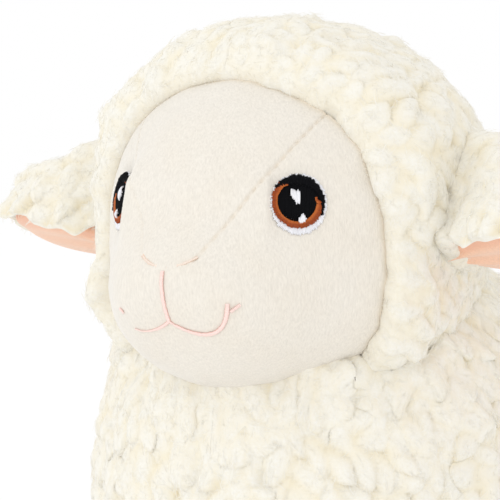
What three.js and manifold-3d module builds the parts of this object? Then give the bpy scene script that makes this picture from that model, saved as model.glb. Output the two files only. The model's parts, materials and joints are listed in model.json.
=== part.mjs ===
// A plush sheep that stands on four stuffed legs, 250 mm tall.
// Lengths are in millimetres, +Z is up and the sheep faces -Y. Left is its own left, which is +X.
// The origin is on the floor, under the middle of the body.
// Each fabric panel, thread patch and stuffing is a solid of its own. The head, ears, tail and legs
// turn about their sewn seams, so each has a rounded root in a rounded seat.
import * as THREE from "three";
import { mergeVertices } from "three/addons/utils/BufferGeometryUtils.js";
import Module from "manifold-3d";

const wasm = await Module();
wasm.setup();

const rad = THREE.MathUtils.degToRad;

// Body, measured over the wool
const bodyHalfWidth = 78;
const bodyHalfLength = 88;
const bodyHalfHeight = 70;
const bodyFullness = 2.2; // exponent of its curve: 2 is an ellipsoid, more is fuller at the corners
const rumpShare = 0.06; // how much wider the rump is than the middle, and narrower the chest
const bellyHalfWidth = 15; // panel between the legs
const bellyHalfLength = 58;

// Legs
const legPivotHeight = 56;
const legRootDepth = 17; // the pivot's height above the body's lowest point
const legFromSide = 40; // the pivot's distance from the body's side
const legFromEnd = 43; // and from its front or back
const legRootRadius = 19;
const legWaistRadius = 16.4;
const legWaistHeight = 32;
const legFootRadius = 18.4;
const legFootHeight = 8;
const legSwing = rad(12);
const soleRadius = 16.2;
const soleThickness = 2.5;

// Head, measured over the face fabric, without wool
const headRadius = 52;
const neckDepth = 44; // how deep the head sits in the top of the body
const headSetBack = 46; // the head's centre behind the front of the body
const headTurn = rad(20);
const muzzleHalfWidth = 37;
const muzzleHalfLength = 49;
const muzzleHalfHeight = 30;
const muzzleForward = 20;
const muzzleDrop = 18.5;
const muzzleBlend = 3.5; // softness of the line where the muzzle leaves the head
const browHeight = 6; // how far the brow between the eyes stands out from the round head
const browPitch = rad(4);
const browHalfYaw = rad(30);
const browHalfPitch = rad(38);
const cheekHeight = 4.2; // how far each cheek stands out over the jaw
const cheekYaw = rad(58);
const cheekPitch = rad(-32);
const cheekHalfYaw = rad(24);
const cheekHalfPitch = rad(16);
const nosePitch = rad(-14); // the nose points this far below the horizon

// Fabrics and the gaps between pieces
const plushThickness = 2; // short-pile fabric of the face, ears and legs
const fleeceThickness = 13; // wool, backing and pile together
const seamGap = 0.3; // between pieces that are sewn to each other
const stuffingGap = 1.1; // between a fabric and the stuffing inside it
const turningGap = 0.5; // around a root that turns in its seat
const headSeatGap = 1.1;
const overrun = 5; // how far a cut runs past what it cuts
const weld = 1e-4; // vertices closer than this are one

// Face opening: angle from the nose to the seam, and what it gains above and loses below
const openingAngle = rad(62);
const openingLift = rad(2.5);

// Forehead panel: it widens from the nose by this much for each millimetre up
const foreheadSlopeShare = 0.77;
const foreheadTopShare = 4; // its top edge, in head radii up the plane that touches the nose
const foreheadInnerShare = 0.5; // the wedge that cuts it runs from here to here, in head radii
const foreheadOuterShare = 2;

// Wool of the head: its pile is shorter near the face and around the ears
const woolEdgeShare = 0.35;
const woolRise = rad(14);
const earDimpleShare = 0.62;
const earDimpleAngle = rad(17);

// Thread of the embroidery
const threadLift = 0.6; // clear of the fabric below
const threadThickness = 0.8;
const threadGap = 0.3; // between two colours of thread

// Eyes
const eyeYaw = rad(33.2);
const eyePitch = rad(8);
const eyeHalfWidth = 7.7; // over the coloured thread
const eyeHalfHeight = 8.3;
const eyeRimWidth = 1.1; // white rim beside the eye
const eyeRimBelow = 1.3; // what the rim gains below the eye
const irisWidth = 1.9;
const irisMiddle = rad(-113); // middle of the brown crescent on the left eye, from its outer side
const irisHalfAngle = rad(122);
const irisEndShare = 0.93; // the crescent stops here, before it narrows to nothing
const upperGlint = { halfWidth: 1.4, halfHeight: 2.3, across: -1.1, up: 2 };
const lowerGlint = { halfWidth: 1.1, halfHeight: 1.5, across: 0.8, up: -4.7 };

// Nose and mouth, across and up from the point where the nose axis leaves the face
const noseBottom = 6.5;
const noseRise = 2.5; // from the point of the V to its arms
const noseHalfWidth = 9.7;
const noseThreadWidth = 1.6;
const lipThreadWidth = 1.8;
const mouthMiddle = -7.7;
const mouthHalfWidth = 18;
const mouthDip = 5.2; // lowest point of each smile line, below the middle of the mouth
const mouthCornerRise = 1.6;
const mouthStitchHalf = 2; // half of the short stitch that closes each corner
const mouthStitchWidth = 0.9;
const smileStartShares = [0.25, 0.63]; // handles of the smile's curve, in half widths and dips
const smileEndShares = [0.85, 2.1];

// Ears
const earStandOff = 4.5; // from the head's fabric to the seam that the ear turns about
const earForward = 3;
const earDrop = 6; // below the head's centre
const earTilt = rad(25); // the front edge is up
const earLift = rad(6); // the tip is up
const earLength = 45;
const earHalfWidth = 19;
const earWidestShare = 0.5;
const earRootHalfWidth = 12;
const earRootRadius = 7;
const earWoolRootHeight = 3; // low enough at the hinge for the ear to swing up
const earWoolHeight = 17;
const earWoolFullShare = 0.42; // where the wool has gained that height
const earLiningThickness = 2.5;
const earLiningInset = 1.6;
const earLiningTipInset = 5; // the wool's tip hangs over the lining's

// Tail
const tailHeight = 12; // above the body's centre
const tailSunk = 7; // how deep the tail turns inside the wool
const tailLength = 31.2;
const tailNeck = 13; // as narrow as its root this far out, so that it swings clear of the body
const tailRootRadius = 9;
const tailMiddleRadius = 12;
const tailSwing = rad(25);

// Steps of the curved surfaces
const bodyColumns = 24;
const headColumns = 24;
const seatColumns = 24;
const legColumns = 16;
const threadColumns = 20;
const foreheadColumns = 6;
const glintColumns = 8;
const earColumns = 8;
const earWoolRows = 8;
const earLiningRows = 6;
const lipSteps = 4;
const smileSteps = 10;
const stitchSteps = 2;
const tailSteps = 7;
const roundSteps = 3;

// Places that follow from the sizes
const bodyHeight = legPivotHeight + bodyHalfHeight - legRootDepth;
const headPlace = new THREE.Vector3(
  0,
  headSetBack - bodyHalfLength,
  bodyHeight + bodyHalfHeight + headRadius - neckDepth,
);
const tailPlace = new THREE.Vector3(0, bodyHalfLength - tailSunk, bodyHeight + tailHeight);
const earPlace = new THREE.Vector3(headRadius + earStandOff, -earForward, -earDrop);
const legPlace = (left, front) =>
  new THREE.Vector3(left * (bodyHalfWidth - legFromSide), front * (legFromEnd - bodyHalfLength), legPivotHeight);

const material = (colour, roughness) => new THREE.MeshStandardMaterial({ color: colour, roughness, metalness: 0 });
const wool = material(0xf5f1e4, 1);
const facePlush = material(0xf7ede2, 0.95);
const earPlush = material(0xf4c3a8, 0.95);
const fibrefill = material(0xfafafa, 1);
const whiteThread = material(0xf3f3f8, 0.5);
const blackThread = material(0x0e0e14, 0.45);
const brownThread = material(0xb65a20, 0.5);
const pinkThread = material(0xf3aaa3, 0.6);

// A solid from a closed geometry whose vertices are moved first. Flat triangles are dropped.
function solidFrom(geometry, move) {
  const position = geometry.attributes.position;
  const point = new THREE.Vector3();
  for (let i = 0; i < position.count; i++) {
    point.copy(move(point.fromBufferAttribute(position, i)));
    position.setXYZ(i, ...point);
  }
  geometry.deleteAttribute("normal");
  geometry.deleteAttribute("uv");
  const merged = mergeVertices(geometry, weld);
  const index = merged.index.array;
  const corners = [new THREE.Vector3(), new THREE.Vector3(), new THREE.Vector3()];
  const triangles = [];
  let sixVolumes = 0;
  for (let i = 0; i < index.length; i += 3) {
    const [a, b, c] = index.slice(i, i + 3);
    if (a === b || b === c || c === a) continue;
    triangles.push([a, b, c]);
    [a, b, c].forEach((vertex, k) => corners[k].fromBufferAttribute(merged.attributes.position, vertex));
    sixVolumes += corners[0].dot(corners[1].cross(corners[2]));
  }
  const outward = sixVolumes > 0 ? triangles : triangles.map((triangle) => triangle.reverse());
  const vertProperties = merged.attributes.position.array;
  const triVerts = new Uint32Array(outward.flat());
  return new wasm.Manifold(new wasm.Mesh({ numProp: 3, vertProperties, triVerts }));
}

// A closed skin: at(angle, turn) is its point at an angle from its pole, and a turn about it.
function skin(columns, rows, at) {
  const pole = new THREE.Vector3(0, 1, 0);
  const sphere = new THREE.SphereGeometry(1, columns, rows);
  return solidFrom(sphere, (p) => at(p.angleTo(pole), Math.atan2(p.x, p.z)));
}

// A four-sided slab: at(u, v, side) runs over its sheets, of which side 0 is inside and side 1 outside.
function patch(columns, rows, at) {
  const box = new THREE.BoxGeometry(1, 1, 1, columns, rows, 1);
  return solidFrom(box, (p) => at(p.x + 1 / 2, p.y + 1 / 2, p.z + 1 / 2));
}

// A slab that goes right round: at(turn, v, side) is like a patch's, with a turn in place of u.
function band(columns, rows, at) {
  const shares = Array.from({ length: rows + 1 }, (_, i) => i / rows);
  const inner = shares.map((share) => new THREE.Vector2(1 + share, 0));
  const outer = shares.map((share) => new THREE.Vector2(1 + share, 1)).reverse();
  const lathe = new THREE.LatheGeometry([...inner, ...outer, inner[0]], columns);
  return solidFrom(lathe, (p) => at(Math.atan2(p.x, p.z), Math.hypot(p.x, p.z) - 1, p.y));
}

// A solid turned about Z. Its profile of radii and heights starts and ends on the axis, and
// stretch(height) widens it along Y.
function turned(columns, profile, stretch = () => 1) {
  const points = profile.map(([radius, height]) => new THREE.Vector2(radius, height));
  return solidFrom(new THREE.LatheGeometry(points, columns), (p) => p.set(p.x, p.z * stretch(p.y), p.y));
}

// Profile of a rounded end, from its pole at -radius up to just below its widest ring at 0
function roundEnd(radius) {
  return Array.from({ length: roundSteps + 1 }, (_, i) => {
    const angle = (i / (roundSteps + 1)) * (Math.PI / 2);
    return [radius * Math.sin(angle), -radius * Math.cos(angle)];
  });
}

function moved(solid, position, turns = [0, 0, 0]) {
  const matrix = new THREE.Matrix4().makeRotationFromEuler(new THREE.Euler(...turns));
  matrix.setPosition(position);
  return solid.transform(matrix.elements);
}

// The solid's mirror image on the other side of the sheep
function mirrored(solid) {
  return solid.transform(new THREE.Matrix4().makeScale(-1, 1, 1).elements);
}

function mesh(name, solid, look) {
  const { vertProperties, triVerts } = solid.getMesh();
  const geometry = new THREE.BufferGeometry();
  geometry.setAttribute("position", new THREE.Float32BufferAttribute(vertProperties, 3));
  geometry.setIndex(Array.from(triVerts));
  geometry.computeVertexNormals();
  const made = new THREE.Mesh(geometry, look);
  made.name = name;
  return made;
}

const smooth = (share) => THREE.MathUtils.smoothstep(share, 0, 1);
const mix = THREE.MathUtils.lerp;

// Seat that a limb swings in: round inside, and flared along Y by the swing. Its pivot is the
// origin and its mouth is towards +Z. Its flat facets lie outside the curve that they stand for.
function swingSeat(columns, rootRadius, depth, swing) {
  const radius = (rootRadius + turningGap) / Math.cos(Math.PI / columns);
  const profile = [...roundEnd(radius), [radius, 0], [radius, depth], [0, depth]];
  const flare = (height) => (height < 0 ? 1 : 1 / Math.cos(swing) + (height / radius) * Math.tan(swing));
  return turned(columns, profile, flare);
}

// Head

const muzzleHalves = new THREE.Vector3(muzzleHalfWidth, muzzleHalfLength, muzzleHalfHeight);
const muzzleCentre = new THREE.Vector3(0, -muzzleForward, -muzzleDrop);
const noseAxis = new THREE.Vector3(0, -Math.cos(nosePitch), Math.sin(nosePitch));
const browAxis = new THREE.Vector3(0, Math.sin(nosePitch), Math.cos(nosePitch));

// Distance from the head's centre to the muzzle's far wall along a direction; 0 where it misses
function muzzleReach(direction) {
  const along = direction.clone().divide(muzzleHalves);
  const start = muzzleCentre.clone().divide(muzzleHalves).negate();
  const a = along.lengthSq();
  const b = along.dot(start);
  const underRoot = b * b - a * (start.lengthSq() - 1);
  return underRoot < 0 ? 0 : Math.max(0, (Math.sqrt(underRoot) - b) / a);
}

// The face fabric's distance from the head's centre: the larger of the round head, with its brow and cheeks,
// and of the muzzle, softly joined
function headReach(direction) {
  const yaw = Math.abs(Math.atan2(direction.x, -direction.y));
  const pitch = Math.asin(direction.z);
  const brow = browHeight * Math.exp(-((yaw / browHalfYaw) ** 2) - ((pitch - browPitch) / browHalfPitch) ** 2);
  const cheek =
    cheekHeight * Math.exp(-(((yaw - cheekYaw) / cheekHalfYaw) ** 2) - ((pitch - cheekPitch) / cheekHalfPitch) ** 2);
  const round = headRadius + brow + cheek;
  return round + muzzleBlend * Math.log(1 + Math.exp((muzzleReach(direction) - round) / muzzleBlend));
}

// A direction at an angle from the nose. turn is 0 towards the brow and 90 degrees to the left.
function fromNose(angle, turn) {
  return noseAxis
    .clone()
    .multiplyScalar(Math.cos(angle))
    .addScaledVector(browAxis, Math.sin(angle) * Math.cos(turn))
    .add(new THREE.Vector3(Math.sin(angle) * Math.sin(turn), 0, 0));
}

function onHead(direction, lift) {
  return direction.clone().multiplyScalar(headReach(direction) + lift);
}

const openingAt = (turn) => openingAngle + openingLift * Math.cos(turn);

// How far the head's wool stands out from the fabric line
function woolLift(direction, angle, opening) {
  const risen = mix(woolEdgeShare, 1, smooth((angle - opening) / woolRise));
  const nearestEar = new THREE.Vector3(Math.sign(direction.x) * earPlace.x, earPlace.y, earPlace.z);
  const dimple = earDimpleShare * Math.exp(-((direction.angleTo(nearestEar) / earDimpleAngle) ** 2));
  return (fleeceThickness - plushThickness) * risen * (1 - dimple);
}

// The head's outside in a direction: wool behind the face opening, and bare fabric ahead of it
function headOutside(direction) {
  const angle = direction.angleTo(noseAxis);
  const opening = openingAt(Math.atan2(direction.x, direction.dot(browAxis)));
  return headReach(direction) + (angle > opening ? woolLift(direction, angle, opening) : 0);
}

function headStuffing() {
  return skin(headColumns, (headColumns * 3) / 4, (angle, turn) =>
    onHead(fromNose(angle, turn), -plushThickness - stuffingGap),
  );
}

// Left half of the wool hood, from the face opening to the back of the head
function hoodHalf() {
  const half = patch(headColumns / 2, headColumns / 3, (u, v, side) => {
    const turn = Math.PI * u;
    const opening = openingAt(turn) + seamGap / headRadius;
    const angle = mix(opening, Math.PI, v);
    const direction = fromNose(angle, turn);
    return onHead(direction, side ? woolLift(direction, angle, opening) : -plushThickness);
  });
  const groove = earBarrel(earRootRadius + turningGap, earRootHalfWidth + turningGap);
  return half.translate([seamGap / 2, 0, 0]).subtract(moved(groove, earPlace, [-earTilt, 0, 0]));
}

function wholeFace() {
  return band(headColumns, headColumns / 3 + 1, (turn, v, side) =>
    onHead(fromNose(openingAt(turn) * v, turn), (side - 1) * plushThickness),
  );
}

// The direction of a point that lies across and up from where a middle direction leaves the face
function towards(middle, across, up) {
  const right = new THREE.Vector3(0, 0, 1).cross(middle).normalize();
  const above = middle.clone().cross(right);
  const flat = middle.clone().multiplyScalar(headReach(middle));
  return flat.addScaledVector(right, across).addScaledVector(above, up).normalize();
}

// The wedge that the forehead panel fills, from the V of the nose to the hairline
function foreheadWedge() {
  return patch(foreheadColumns, 2, (u, v, side) => {
    const acrossShare = 2 * u - 1;
    const up = mix(noseUp(acrossShare), foreheadTopShare * headRadius, v);
    const half = noseHalfWidth + foreheadSlopeShare * (up - noseUp(acrossShare));
    const reachShare = side ? foreheadOuterShare : foreheadInnerShare;
    return towards(noseAxis, acrossShare * half, up).multiplyScalar(reachShare * headRadius);
  });
}

function facePanels() {
  const face = wholeFace();
  const wedge = foreheadWedge();
  const raised = wedge.translate(browAxis.clone().multiplyScalar(seamGap).toArray());
  return { forehead: face.intersect(raised), lowerFace: face.subtract(wedge) };
}

// A point of the embroidery. side is 0 under the thread and 1 on top of it.
function stitched(middle, across, up, side) {
  return onHead(towards(middle, across, up), threadLift + side * threadThickness);
}

const eyeAxis = new THREE.Vector3(
  Math.cos(eyePitch) * Math.sin(eyeYaw),
  -Math.cos(eyePitch) * Math.cos(eyeYaw),
  Math.sin(eyePitch),
);

// A point of the left eye, at a turn and a share of the way to its edge
function eyePoint(turn, share, side) {
  return stitched(eyeAxis, share * eyeHalfWidth * Math.cos(turn), share * eyeHalfHeight * Math.sin(turn), side);
}

// How much of the iris shows at a turn: 1 in the middle of the crescent and 0 past its ends
function irisShare(turn) {
  const away = Math.abs(Math.atan2(Math.sin(turn - irisMiddle), Math.cos(turn - irisMiddle)));
  return Math.sqrt(smooth(1 - away / irisHalfAngle));
}

// A highlight of the eye, grown by a margin. A thick one cuts right through the pupil.
function glint({ halfWidth, halfHeight, across, up }, margin, thick) {
  return band(glintColumns, 1, (turn, v, side) => {
    const x = across + v * (halfWidth + margin) * Math.cos(turn);
    const z = up + v * (halfHeight + margin) * Math.sin(turn);
    return stitched(eyeAxis, x, z, thick ? 2 * side - 1 / 2 : side);
  });
}

// Threads of the left eye, as solids by name
function eyeThreads() {
  const gapShare = threadGap / eyeHalfWidth;
  const pupilEdge = (turn) => 1 - (irisWidth / eyeHalfWidth) * irisShare(turn);
  const rimEdge = (turn) => 1 + (eyeRimWidth + eyeRimBelow * Math.max(0, -Math.sin(turn))) / eyeHalfWidth;
  const reach = irisHalfAngle * irisEndShare;
  const white = band(threadColumns, 1, (turn, v, side) => eyePoint(turn, mix(1, rimEdge(turn), v) + gapShare, side));
  const iris = patch(threadColumns, 1, (u, v, side) => {
    const turn = irisMiddle + mix(-reach, reach, u);
    return eyePoint(turn, mix(pupilEdge(turn) + gapShare / 2, 1, v), side);
  });
  const pupil = band(threadColumns, 2, (turn, v, side) => eyePoint(turn, v * (pupilEdge(turn) - gapShare / 2), side))
    .subtract(glint(upperGlint, threadGap, true))
    .subtract(glint(lowerGlint, threadGap, true));
  return { white, iris, pupil, upper_glint: glint(upperGlint, 0), lower_glint: glint(lowerGlint, 0) };
}

// A line of thread on the muzzle that follows a curve of distances across and up
function threadLine(columns, curve, width) {
  return patch(columns, 1, (u, v, side) => {
    const point = curve.getPoint(u);
    const tangent = curve.getTangent(u);
    const shift = (v - 1 / 2) * width;
    return stitched(noseAxis, point.x - shift * tangent.y, point.y + shift * tangent.x, side);
  });
}

// Height of the V of the nose at a share of the way from its point to its arms
function noseUp(acrossShare) {
  return noseBottom + noseRise * acrossShare ** 2;
}

function noseThread() {
  const points = [-1, -3 / 4, -1 / 2, -1 / 4, 0, 1 / 4, 1 / 2, 3 / 4, 1].map(
    (share) => new THREE.Vector2(share * noseHalfWidth, noseUp(share)),
  );
  return threadLine(points.length - 1, new THREE.SplineCurve(points), noseThreadWidth);
}

// The line under the nose, both smile lines and the short stitches at the corners of the mouth
function mouthThread() {
  const top = noseBottom - (noseThreadWidth + lipThreadWidth) / 2;
  const lip = new THREE.LineCurve(new THREE.Vector2(0, top), new THREE.Vector2(0, mouthMiddle));
  let joined = threadLine(lipSteps, lip, lipThreadWidth);
  for (const side of [1, -1]) {
    const at = (acrossShare, up) => new THREE.Vector2(side * acrossShare * mouthHalfWidth, mouthMiddle + up);
    const handle = ([acrossShare, dipShare]) => at(acrossShare, -dipShare * mouthDip);
    const corner = at(1, mouthCornerRise);
    const smile = new THREE.CubicBezierCurve(at(0, 0), handle(smileStartShares), handle(smileEndShares), corner);
    const stitch = new THREE.Vector2(side * mouthStitchHalf, -mouthStitchHalf / 2);
    const close = new THREE.LineCurve(corner.clone().sub(stitch), corner.clone().add(stitch));
    joined = joined.add(threadLine(smileSteps, smile, lipThreadWidth));
    joined = joined.add(threadLine(stitchSteps, close, mouthStitchWidth));
  }
  return joined;
}

// Ears, in their own frame: the hinge line is Y, the ear points to +X and its wool is on top.

function earHalfWidthAt(share) {
  const past = Math.max(0, share - earWidestShare) / (1 - earWidestShare);
  return mix(earRootHalfWidth, earHalfWidth, smooth(share / earWidestShare)) * Math.sqrt(Math.max(0, 1 - past * past));
}

function earBarrel(radius, halfWidth) {
  const upright = turned(legColumns, [
    [0, -halfWidth],
    [radius, -halfWidth],
    [radius, halfWidth],
    [0, halfWidth],
  ]);
  return upright.rotate([90, 0, 0]);
}

// A leaf from start to end along the ear, set in from the ear's sides, with a flat bottom
function earLeaf(rows, start, end, inset, bottom, top) {
  return patch(earColumns, rows, (u, v, side) => {
    const along = mix(start, end, v);
    const half = Math.max(0, earHalfWidthAt(along / end) - inset);
    const across = 2 * u - 1;
    return new THREE.Vector3(along, across * half, side ? top(along / earLength, across) : bottom);
  });
}

function earWool() {
  const dome = (share, across) => {
    const height = mix(earWoolRootHeight, earWoolHeight, smooth(share / earWoolFullShare));
    return height * Math.sqrt(Math.max(0, 1 - share ** 6)) * Math.sqrt(Math.max(0, 1 - across ** 4));
  };
  return earLeaf(earWoolRows, 0, earLength, 0, -seamGap, dome).add(earBarrel(earRootRadius, earRootHalfWidth));
}

function earLining() {
  const top = -2 * seamGap;
  const start = earRootRadius + seamGap;
  const end = earLength - earLiningTipInset;
  return earLeaf(earLiningRows, start, end, earLiningInset, top - earLiningThickness, () => top);
}

// Body, in its own frame: the origin is its centre.

// The body's surface at an angle from +X and a turn about it. inset moves it inwards.
function onBody(angle, turn, inset) {
  const halves = [bodyHalfWidth - inset, bodyHalfLength - inset, bodyHalfHeight - inset];
  const direction = [Math.cos(angle), Math.sin(angle) * Math.cos(turn), Math.sin(angle) * Math.sin(turn)];
  const fill = direction.reduce((sum, part, i) => sum + Math.abs(part / halves[i]) ** bodyFullness, 0);
  const point = new THREE.Vector3(...direction).multiplyScalar(fill ** (-1 / bodyFullness));
  point.x *= 1 + (rumpShare * point.y) / bodyHalfLength;
  return point;
}

function bodySkin(inset) {
  return skin(bodyColumns, bodyColumns / 2 + 2, (angle, turn) => onBody(angle, turn, inset));
}

// Left half of the body's wool, as a dome around +X
function bodyHalf() {
  const half = band(bodyColumns, bodyColumns / 4 + 1, (turn, v, side) =>
    onBody((v * Math.PI) / 2, turn, side ? 0 : fleeceThickness),
  );
  return half.translate([seamGap / 2, 0, 0]);
}

// How far the seat must clear the head in a direction, over the head's turn and the seat's own steps
function headSweep(direction) {
  const up = new THREE.Vector3(0, 0, 1);
  const level = up.clone().cross(direction).normalize();
  const turns = [-1, -3 / 4, -1 / 2, -1 / 4, 0, 1 / 4, 1 / 2, 3 / 4, 1].map((share) => share * headTurn);
  const tilts = [-1, 0, 1].map((share) => (share * Math.PI) / seatColumns);
  const reaches = turns.flatMap((turn) =>
    tilts.map((tilt) => headOutside(direction.clone().applyAxisAngle(level, tilt).applyAxisAngle(up, turn))),
  );
  return Math.max(...reaches);
}

function headSeat() {
  const seat = skin(seatColumns, (seatColumns * 5) / 8, (angle, turn) => {
    const direction = new THREE.Vector3(
      Math.sin(angle) * Math.cos(turn),
      Math.sin(angle) * Math.sin(turn),
      Math.cos(angle),
    );
    return direction.multiplyScalar(headSweep(direction) + headSeatGap);
  });
  return moved(seat, headPlace);
}

function bellyOval(margin) {
  const radius = bellyHalfWidth + margin;
  const bottom = -bodyHalfHeight - overrun;
  const profile = [
    [0, bottom],
    [radius, bottom],
    [radius, 0],
    [0, 0],
  ];
  return turned(bodyColumns, profile, () => (bellyHalfLength + margin) / radius);
}

// Seats in the body for the head, tail and legs
function bodySeats() {
  const sides = [1, -1];
  const legSeat = swingSeat(legColumns, legRootRadius, legPivotHeight, legSwing);
  const tailSeat = swingSeat(legColumns, tailRootRadius, tailSunk + overrun, tailSwing);
  const legSeats = sides.flatMap((left) =>
    sides.map((front) => moved(legSeat, legPlace(left, front), [Math.PI, 0, 0])),
  );
  return [headSeat(), moved(tailSeat, tailPlace, [-Math.PI / 2, 0, 0]), ...legSeats];
}

function bodyPanels() {
  const centred = bodySeats().map((seat) => seat.translate([0, 0, -bodyHeight]));
  const seated = (solid) => centred.reduce((made, seat) => made.subtract(seat), solid);
  const largest = (solid) => solid.decompose().sort((a, b) => b.volume() - a.volume())[0];
  return {
    fleece: largest(seated(bodyHalf()).subtract(bellyOval(seamGap))),
    belly: largest(seated(bodySkin(0).subtract(bodySkin(fleeceThickness))).intersect(bellyOval(0))),
    stuffing: seated(bodySkin(fleeceThickness + stuffingGap)),
  };
}

// Legs, in their own frame: the pivot is the origin and the foot is below it.

// Profile of a leg whose skin is set in, from the axis at a height above the floor up to its root
function legProfile(inset, bottom) {
  const ring = (radius, height) => [radius - inset, height - legPivotHeight];
  const root = roundEnd(legRootRadius - inset).map(([radius, height]) => [radius, -height]);
  return [
    [0, bottom - legPivotHeight],
    ring(soleRadius, bottom),
    ring(legFootRadius, legFootHeight),
    ring(legWaistRadius, legWaistHeight),
    ring(legRootRadius, legPivotHeight),
    ...root.reverse(),
  ];
}

function legSleeve() {
  const open = [soleRadius - plushThickness, -legPivotHeight - overrun];
  const inside = turned(legColumns, [[0, open[1]], open, ...legProfile(plushThickness, 0).slice(1)]);
  return turned(legColumns, legProfile(0, 0)).subtract(inside);
}

function legStuffing() {
  return turned(legColumns, legProfile(plushThickness + stuffingGap, soleThickness + seamGap));
}

function legSole() {
  const radius = soleRadius - plushThickness - seamGap;
  return turned(legColumns, [
    [0, -legPivotHeight],
    [radius, -legPivotHeight],
    [radius, soleThickness - legPivotHeight],
    [0, soleThickness - legPivotHeight],
  ]);
}

// Tail, in its own frame: it turns about the origin and points to +Y.

function tailPod() {
  const outer = Array.from({ length: tailSteps + 1 }, (_, i) => {
    const share = i / tailSteps;
    const swell = mix(tailRootRadius, tailMiddleRadius, smooth(2 * share));
    const past = Math.max(0, 2 * share - 1);
    return [swell * Math.sqrt(1 - past * past), mix(tailNeck, tailLength, share)];
  });
  const pod = turned(legColumns, [...roundEnd(tailRootRadius), [tailRootRadius, 0], ...outer]);
  return pod.rotate([-90, 0, 0]);
}

function tailHalves() {
  const pod = tailPod();
  const block = turned(4, [
    [0, seamGap / 2],
    [2 * tailLength, seamGap / 2],
    [2 * tailLength, tailLength],
    [0, tailLength],
  ]);
  return { top: pod.intersect(block), underside: pod.intersect(block.rotate([180, 0, 0])) };
}

function buildBody() {
  const group = new THREE.Group();
  const { fleece, belly, stuffing } = bodyPanels();
  group.add(mesh("body_stuffing", stuffing, fibrefill));
  group.add(mesh("body_fleece_left", fleece, wool));
  group.add(mesh("body_fleece_right", mirrored(fleece), wool));
  group.add(mesh("belly_panel", belly, wool));
  group.position.z = bodyHeight;
  return group;
}

function buildEyes() {
  const group = new THREE.Group();
  const looks = {
    white: whiteThread,
    iris: brownThread,
    pupil: blackThread,
    upper_glint: whiteThread,
    lower_glint: whiteThread,
  };
  for (const [part, solid] of Object.entries(eyeThreads())) {
    group.add(mesh(`left_eye_${part}`, solid, looks[part]));
    group.add(mesh(`right_eye_${part}`, mirrored(solid), looks[part]));
  }
  return group;
}

function buildEar(name, left) {
  const group = new THREE.Group();
  const sided = (solid) => (left > 0 ? solid : mirrored(solid));
  group.add(mesh(`${name}_ear_wool`, sided(earWool()), wool));
  group.add(mesh(`${name}_ear_lining`, sided(earLining()), earPlush));
  group.position.set(left * earPlace.x, earPlace.y, earPlace.z);
  group.rotation.set(-earTilt, -left * earLift, 0);
  return group;
}

function buildHead() {
  const group = new THREE.Group();
  const hood = hoodHalf();
  const { forehead, lowerFace } = facePanels();
  group.add(mesh("head_stuffing", headStuffing(), fibrefill));
  group.add(mesh("hood_left", hood, wool));
  group.add(mesh("hood_right", mirrored(hood), wool));
  group.add(mesh("face_forehead", forehead, facePlush));
  group.add(mesh("face_lower", lowerFace, facePlush));
  group.add(mesh("nose_stitching", noseThread(), pinkThread));
  group.add(mesh("mouth_stitching", mouthThread(), pinkThread));
  group.add(buildEyes(), buildEar("left", 1), buildEar("right", -1));
  group.position.copy(headPlace);
  return group;
}

function buildTail() {
  const group = new THREE.Group();
  const { top, underside } = tailHalves();
  group.add(mesh("tail_top", top, wool));
  group.add(mesh("tail_underside", underside, wool));
  group.position.copy(tailPlace);
  return group;
}

function buildLeg(name, left, front) {
  const group = new THREE.Group();
  group.add(mesh(`${name}_leg_sleeve`, legSleeve(), facePlush));
  group.add(mesh(`${name}_sole`, legSole(), facePlush));
  group.add(mesh(`${name}_leg_stuffing`, legStuffing(), fibrefill));
  group.position.copy(legPlace(left, front));
  return group;
}

const sheep = new THREE.Group();
sheep.add(buildBody(), buildHead(), buildTail());
sheep.add(buildLeg("front_left", 1, 1), buildLeg("front_right", -1, 1));
sheep.add(buildLeg("rear_left", 1, -1), buildLeg("rear_right", -1, -1));

export default sheep;
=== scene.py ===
"""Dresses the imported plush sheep: fleece, face fabric, embroidery, ears, tail, legs and filling.

Lengths are metres in the CAD model's own frame: +Z is up, the sheep faces -Y and its left is +X.
The file has an add-on's layout and is run as a script.
"""

import json

import bmesh
import bpy
import numpy as np
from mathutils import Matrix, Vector


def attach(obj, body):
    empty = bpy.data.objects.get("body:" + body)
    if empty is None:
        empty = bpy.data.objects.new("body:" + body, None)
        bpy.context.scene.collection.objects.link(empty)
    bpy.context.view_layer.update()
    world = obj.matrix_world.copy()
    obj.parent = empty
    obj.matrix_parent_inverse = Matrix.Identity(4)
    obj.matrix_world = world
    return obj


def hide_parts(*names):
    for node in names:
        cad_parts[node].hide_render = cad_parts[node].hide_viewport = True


bl_info = {
    "name": "Plush Sheep",
    "version": (1, 0, 0),
    "blender": (4, 5, 0),
    "location": "3D View > Sidebar > Sheep",
    "description": "Makes the fleece, face, embroidery, ears, tail and legs of a plush sheep",
    "category": "Add Mesh",
}

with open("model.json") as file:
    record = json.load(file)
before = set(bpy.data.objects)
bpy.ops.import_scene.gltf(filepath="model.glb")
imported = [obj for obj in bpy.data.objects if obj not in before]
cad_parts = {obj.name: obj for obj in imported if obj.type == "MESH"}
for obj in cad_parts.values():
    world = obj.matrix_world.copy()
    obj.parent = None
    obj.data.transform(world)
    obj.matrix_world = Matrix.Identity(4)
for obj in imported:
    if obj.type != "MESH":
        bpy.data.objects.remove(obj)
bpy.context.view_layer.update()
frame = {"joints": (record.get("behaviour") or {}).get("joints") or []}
JOINT_AT = {joint["name"]: joint["pos_m"] for joint in frame["joints"]}
MM = 0.001
UP = np.array([0.0, 0.0, 1.0])
LEGS = ("front_left", "front_right", "rear_left", "rear_right")


# Sizes and colours


def length(name, description, default):
    """A length in metres."""
    return bpy.props.FloatProperty(name=name, description=description, default=default, unit="LENGTH", precision=5)


def angle(name, description, degrees):
    """An angle, given here in degrees."""
    return bpy.props.FloatProperty(name=name, description=description, default=np.radians(degrees), unit="ROTATION")


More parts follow.
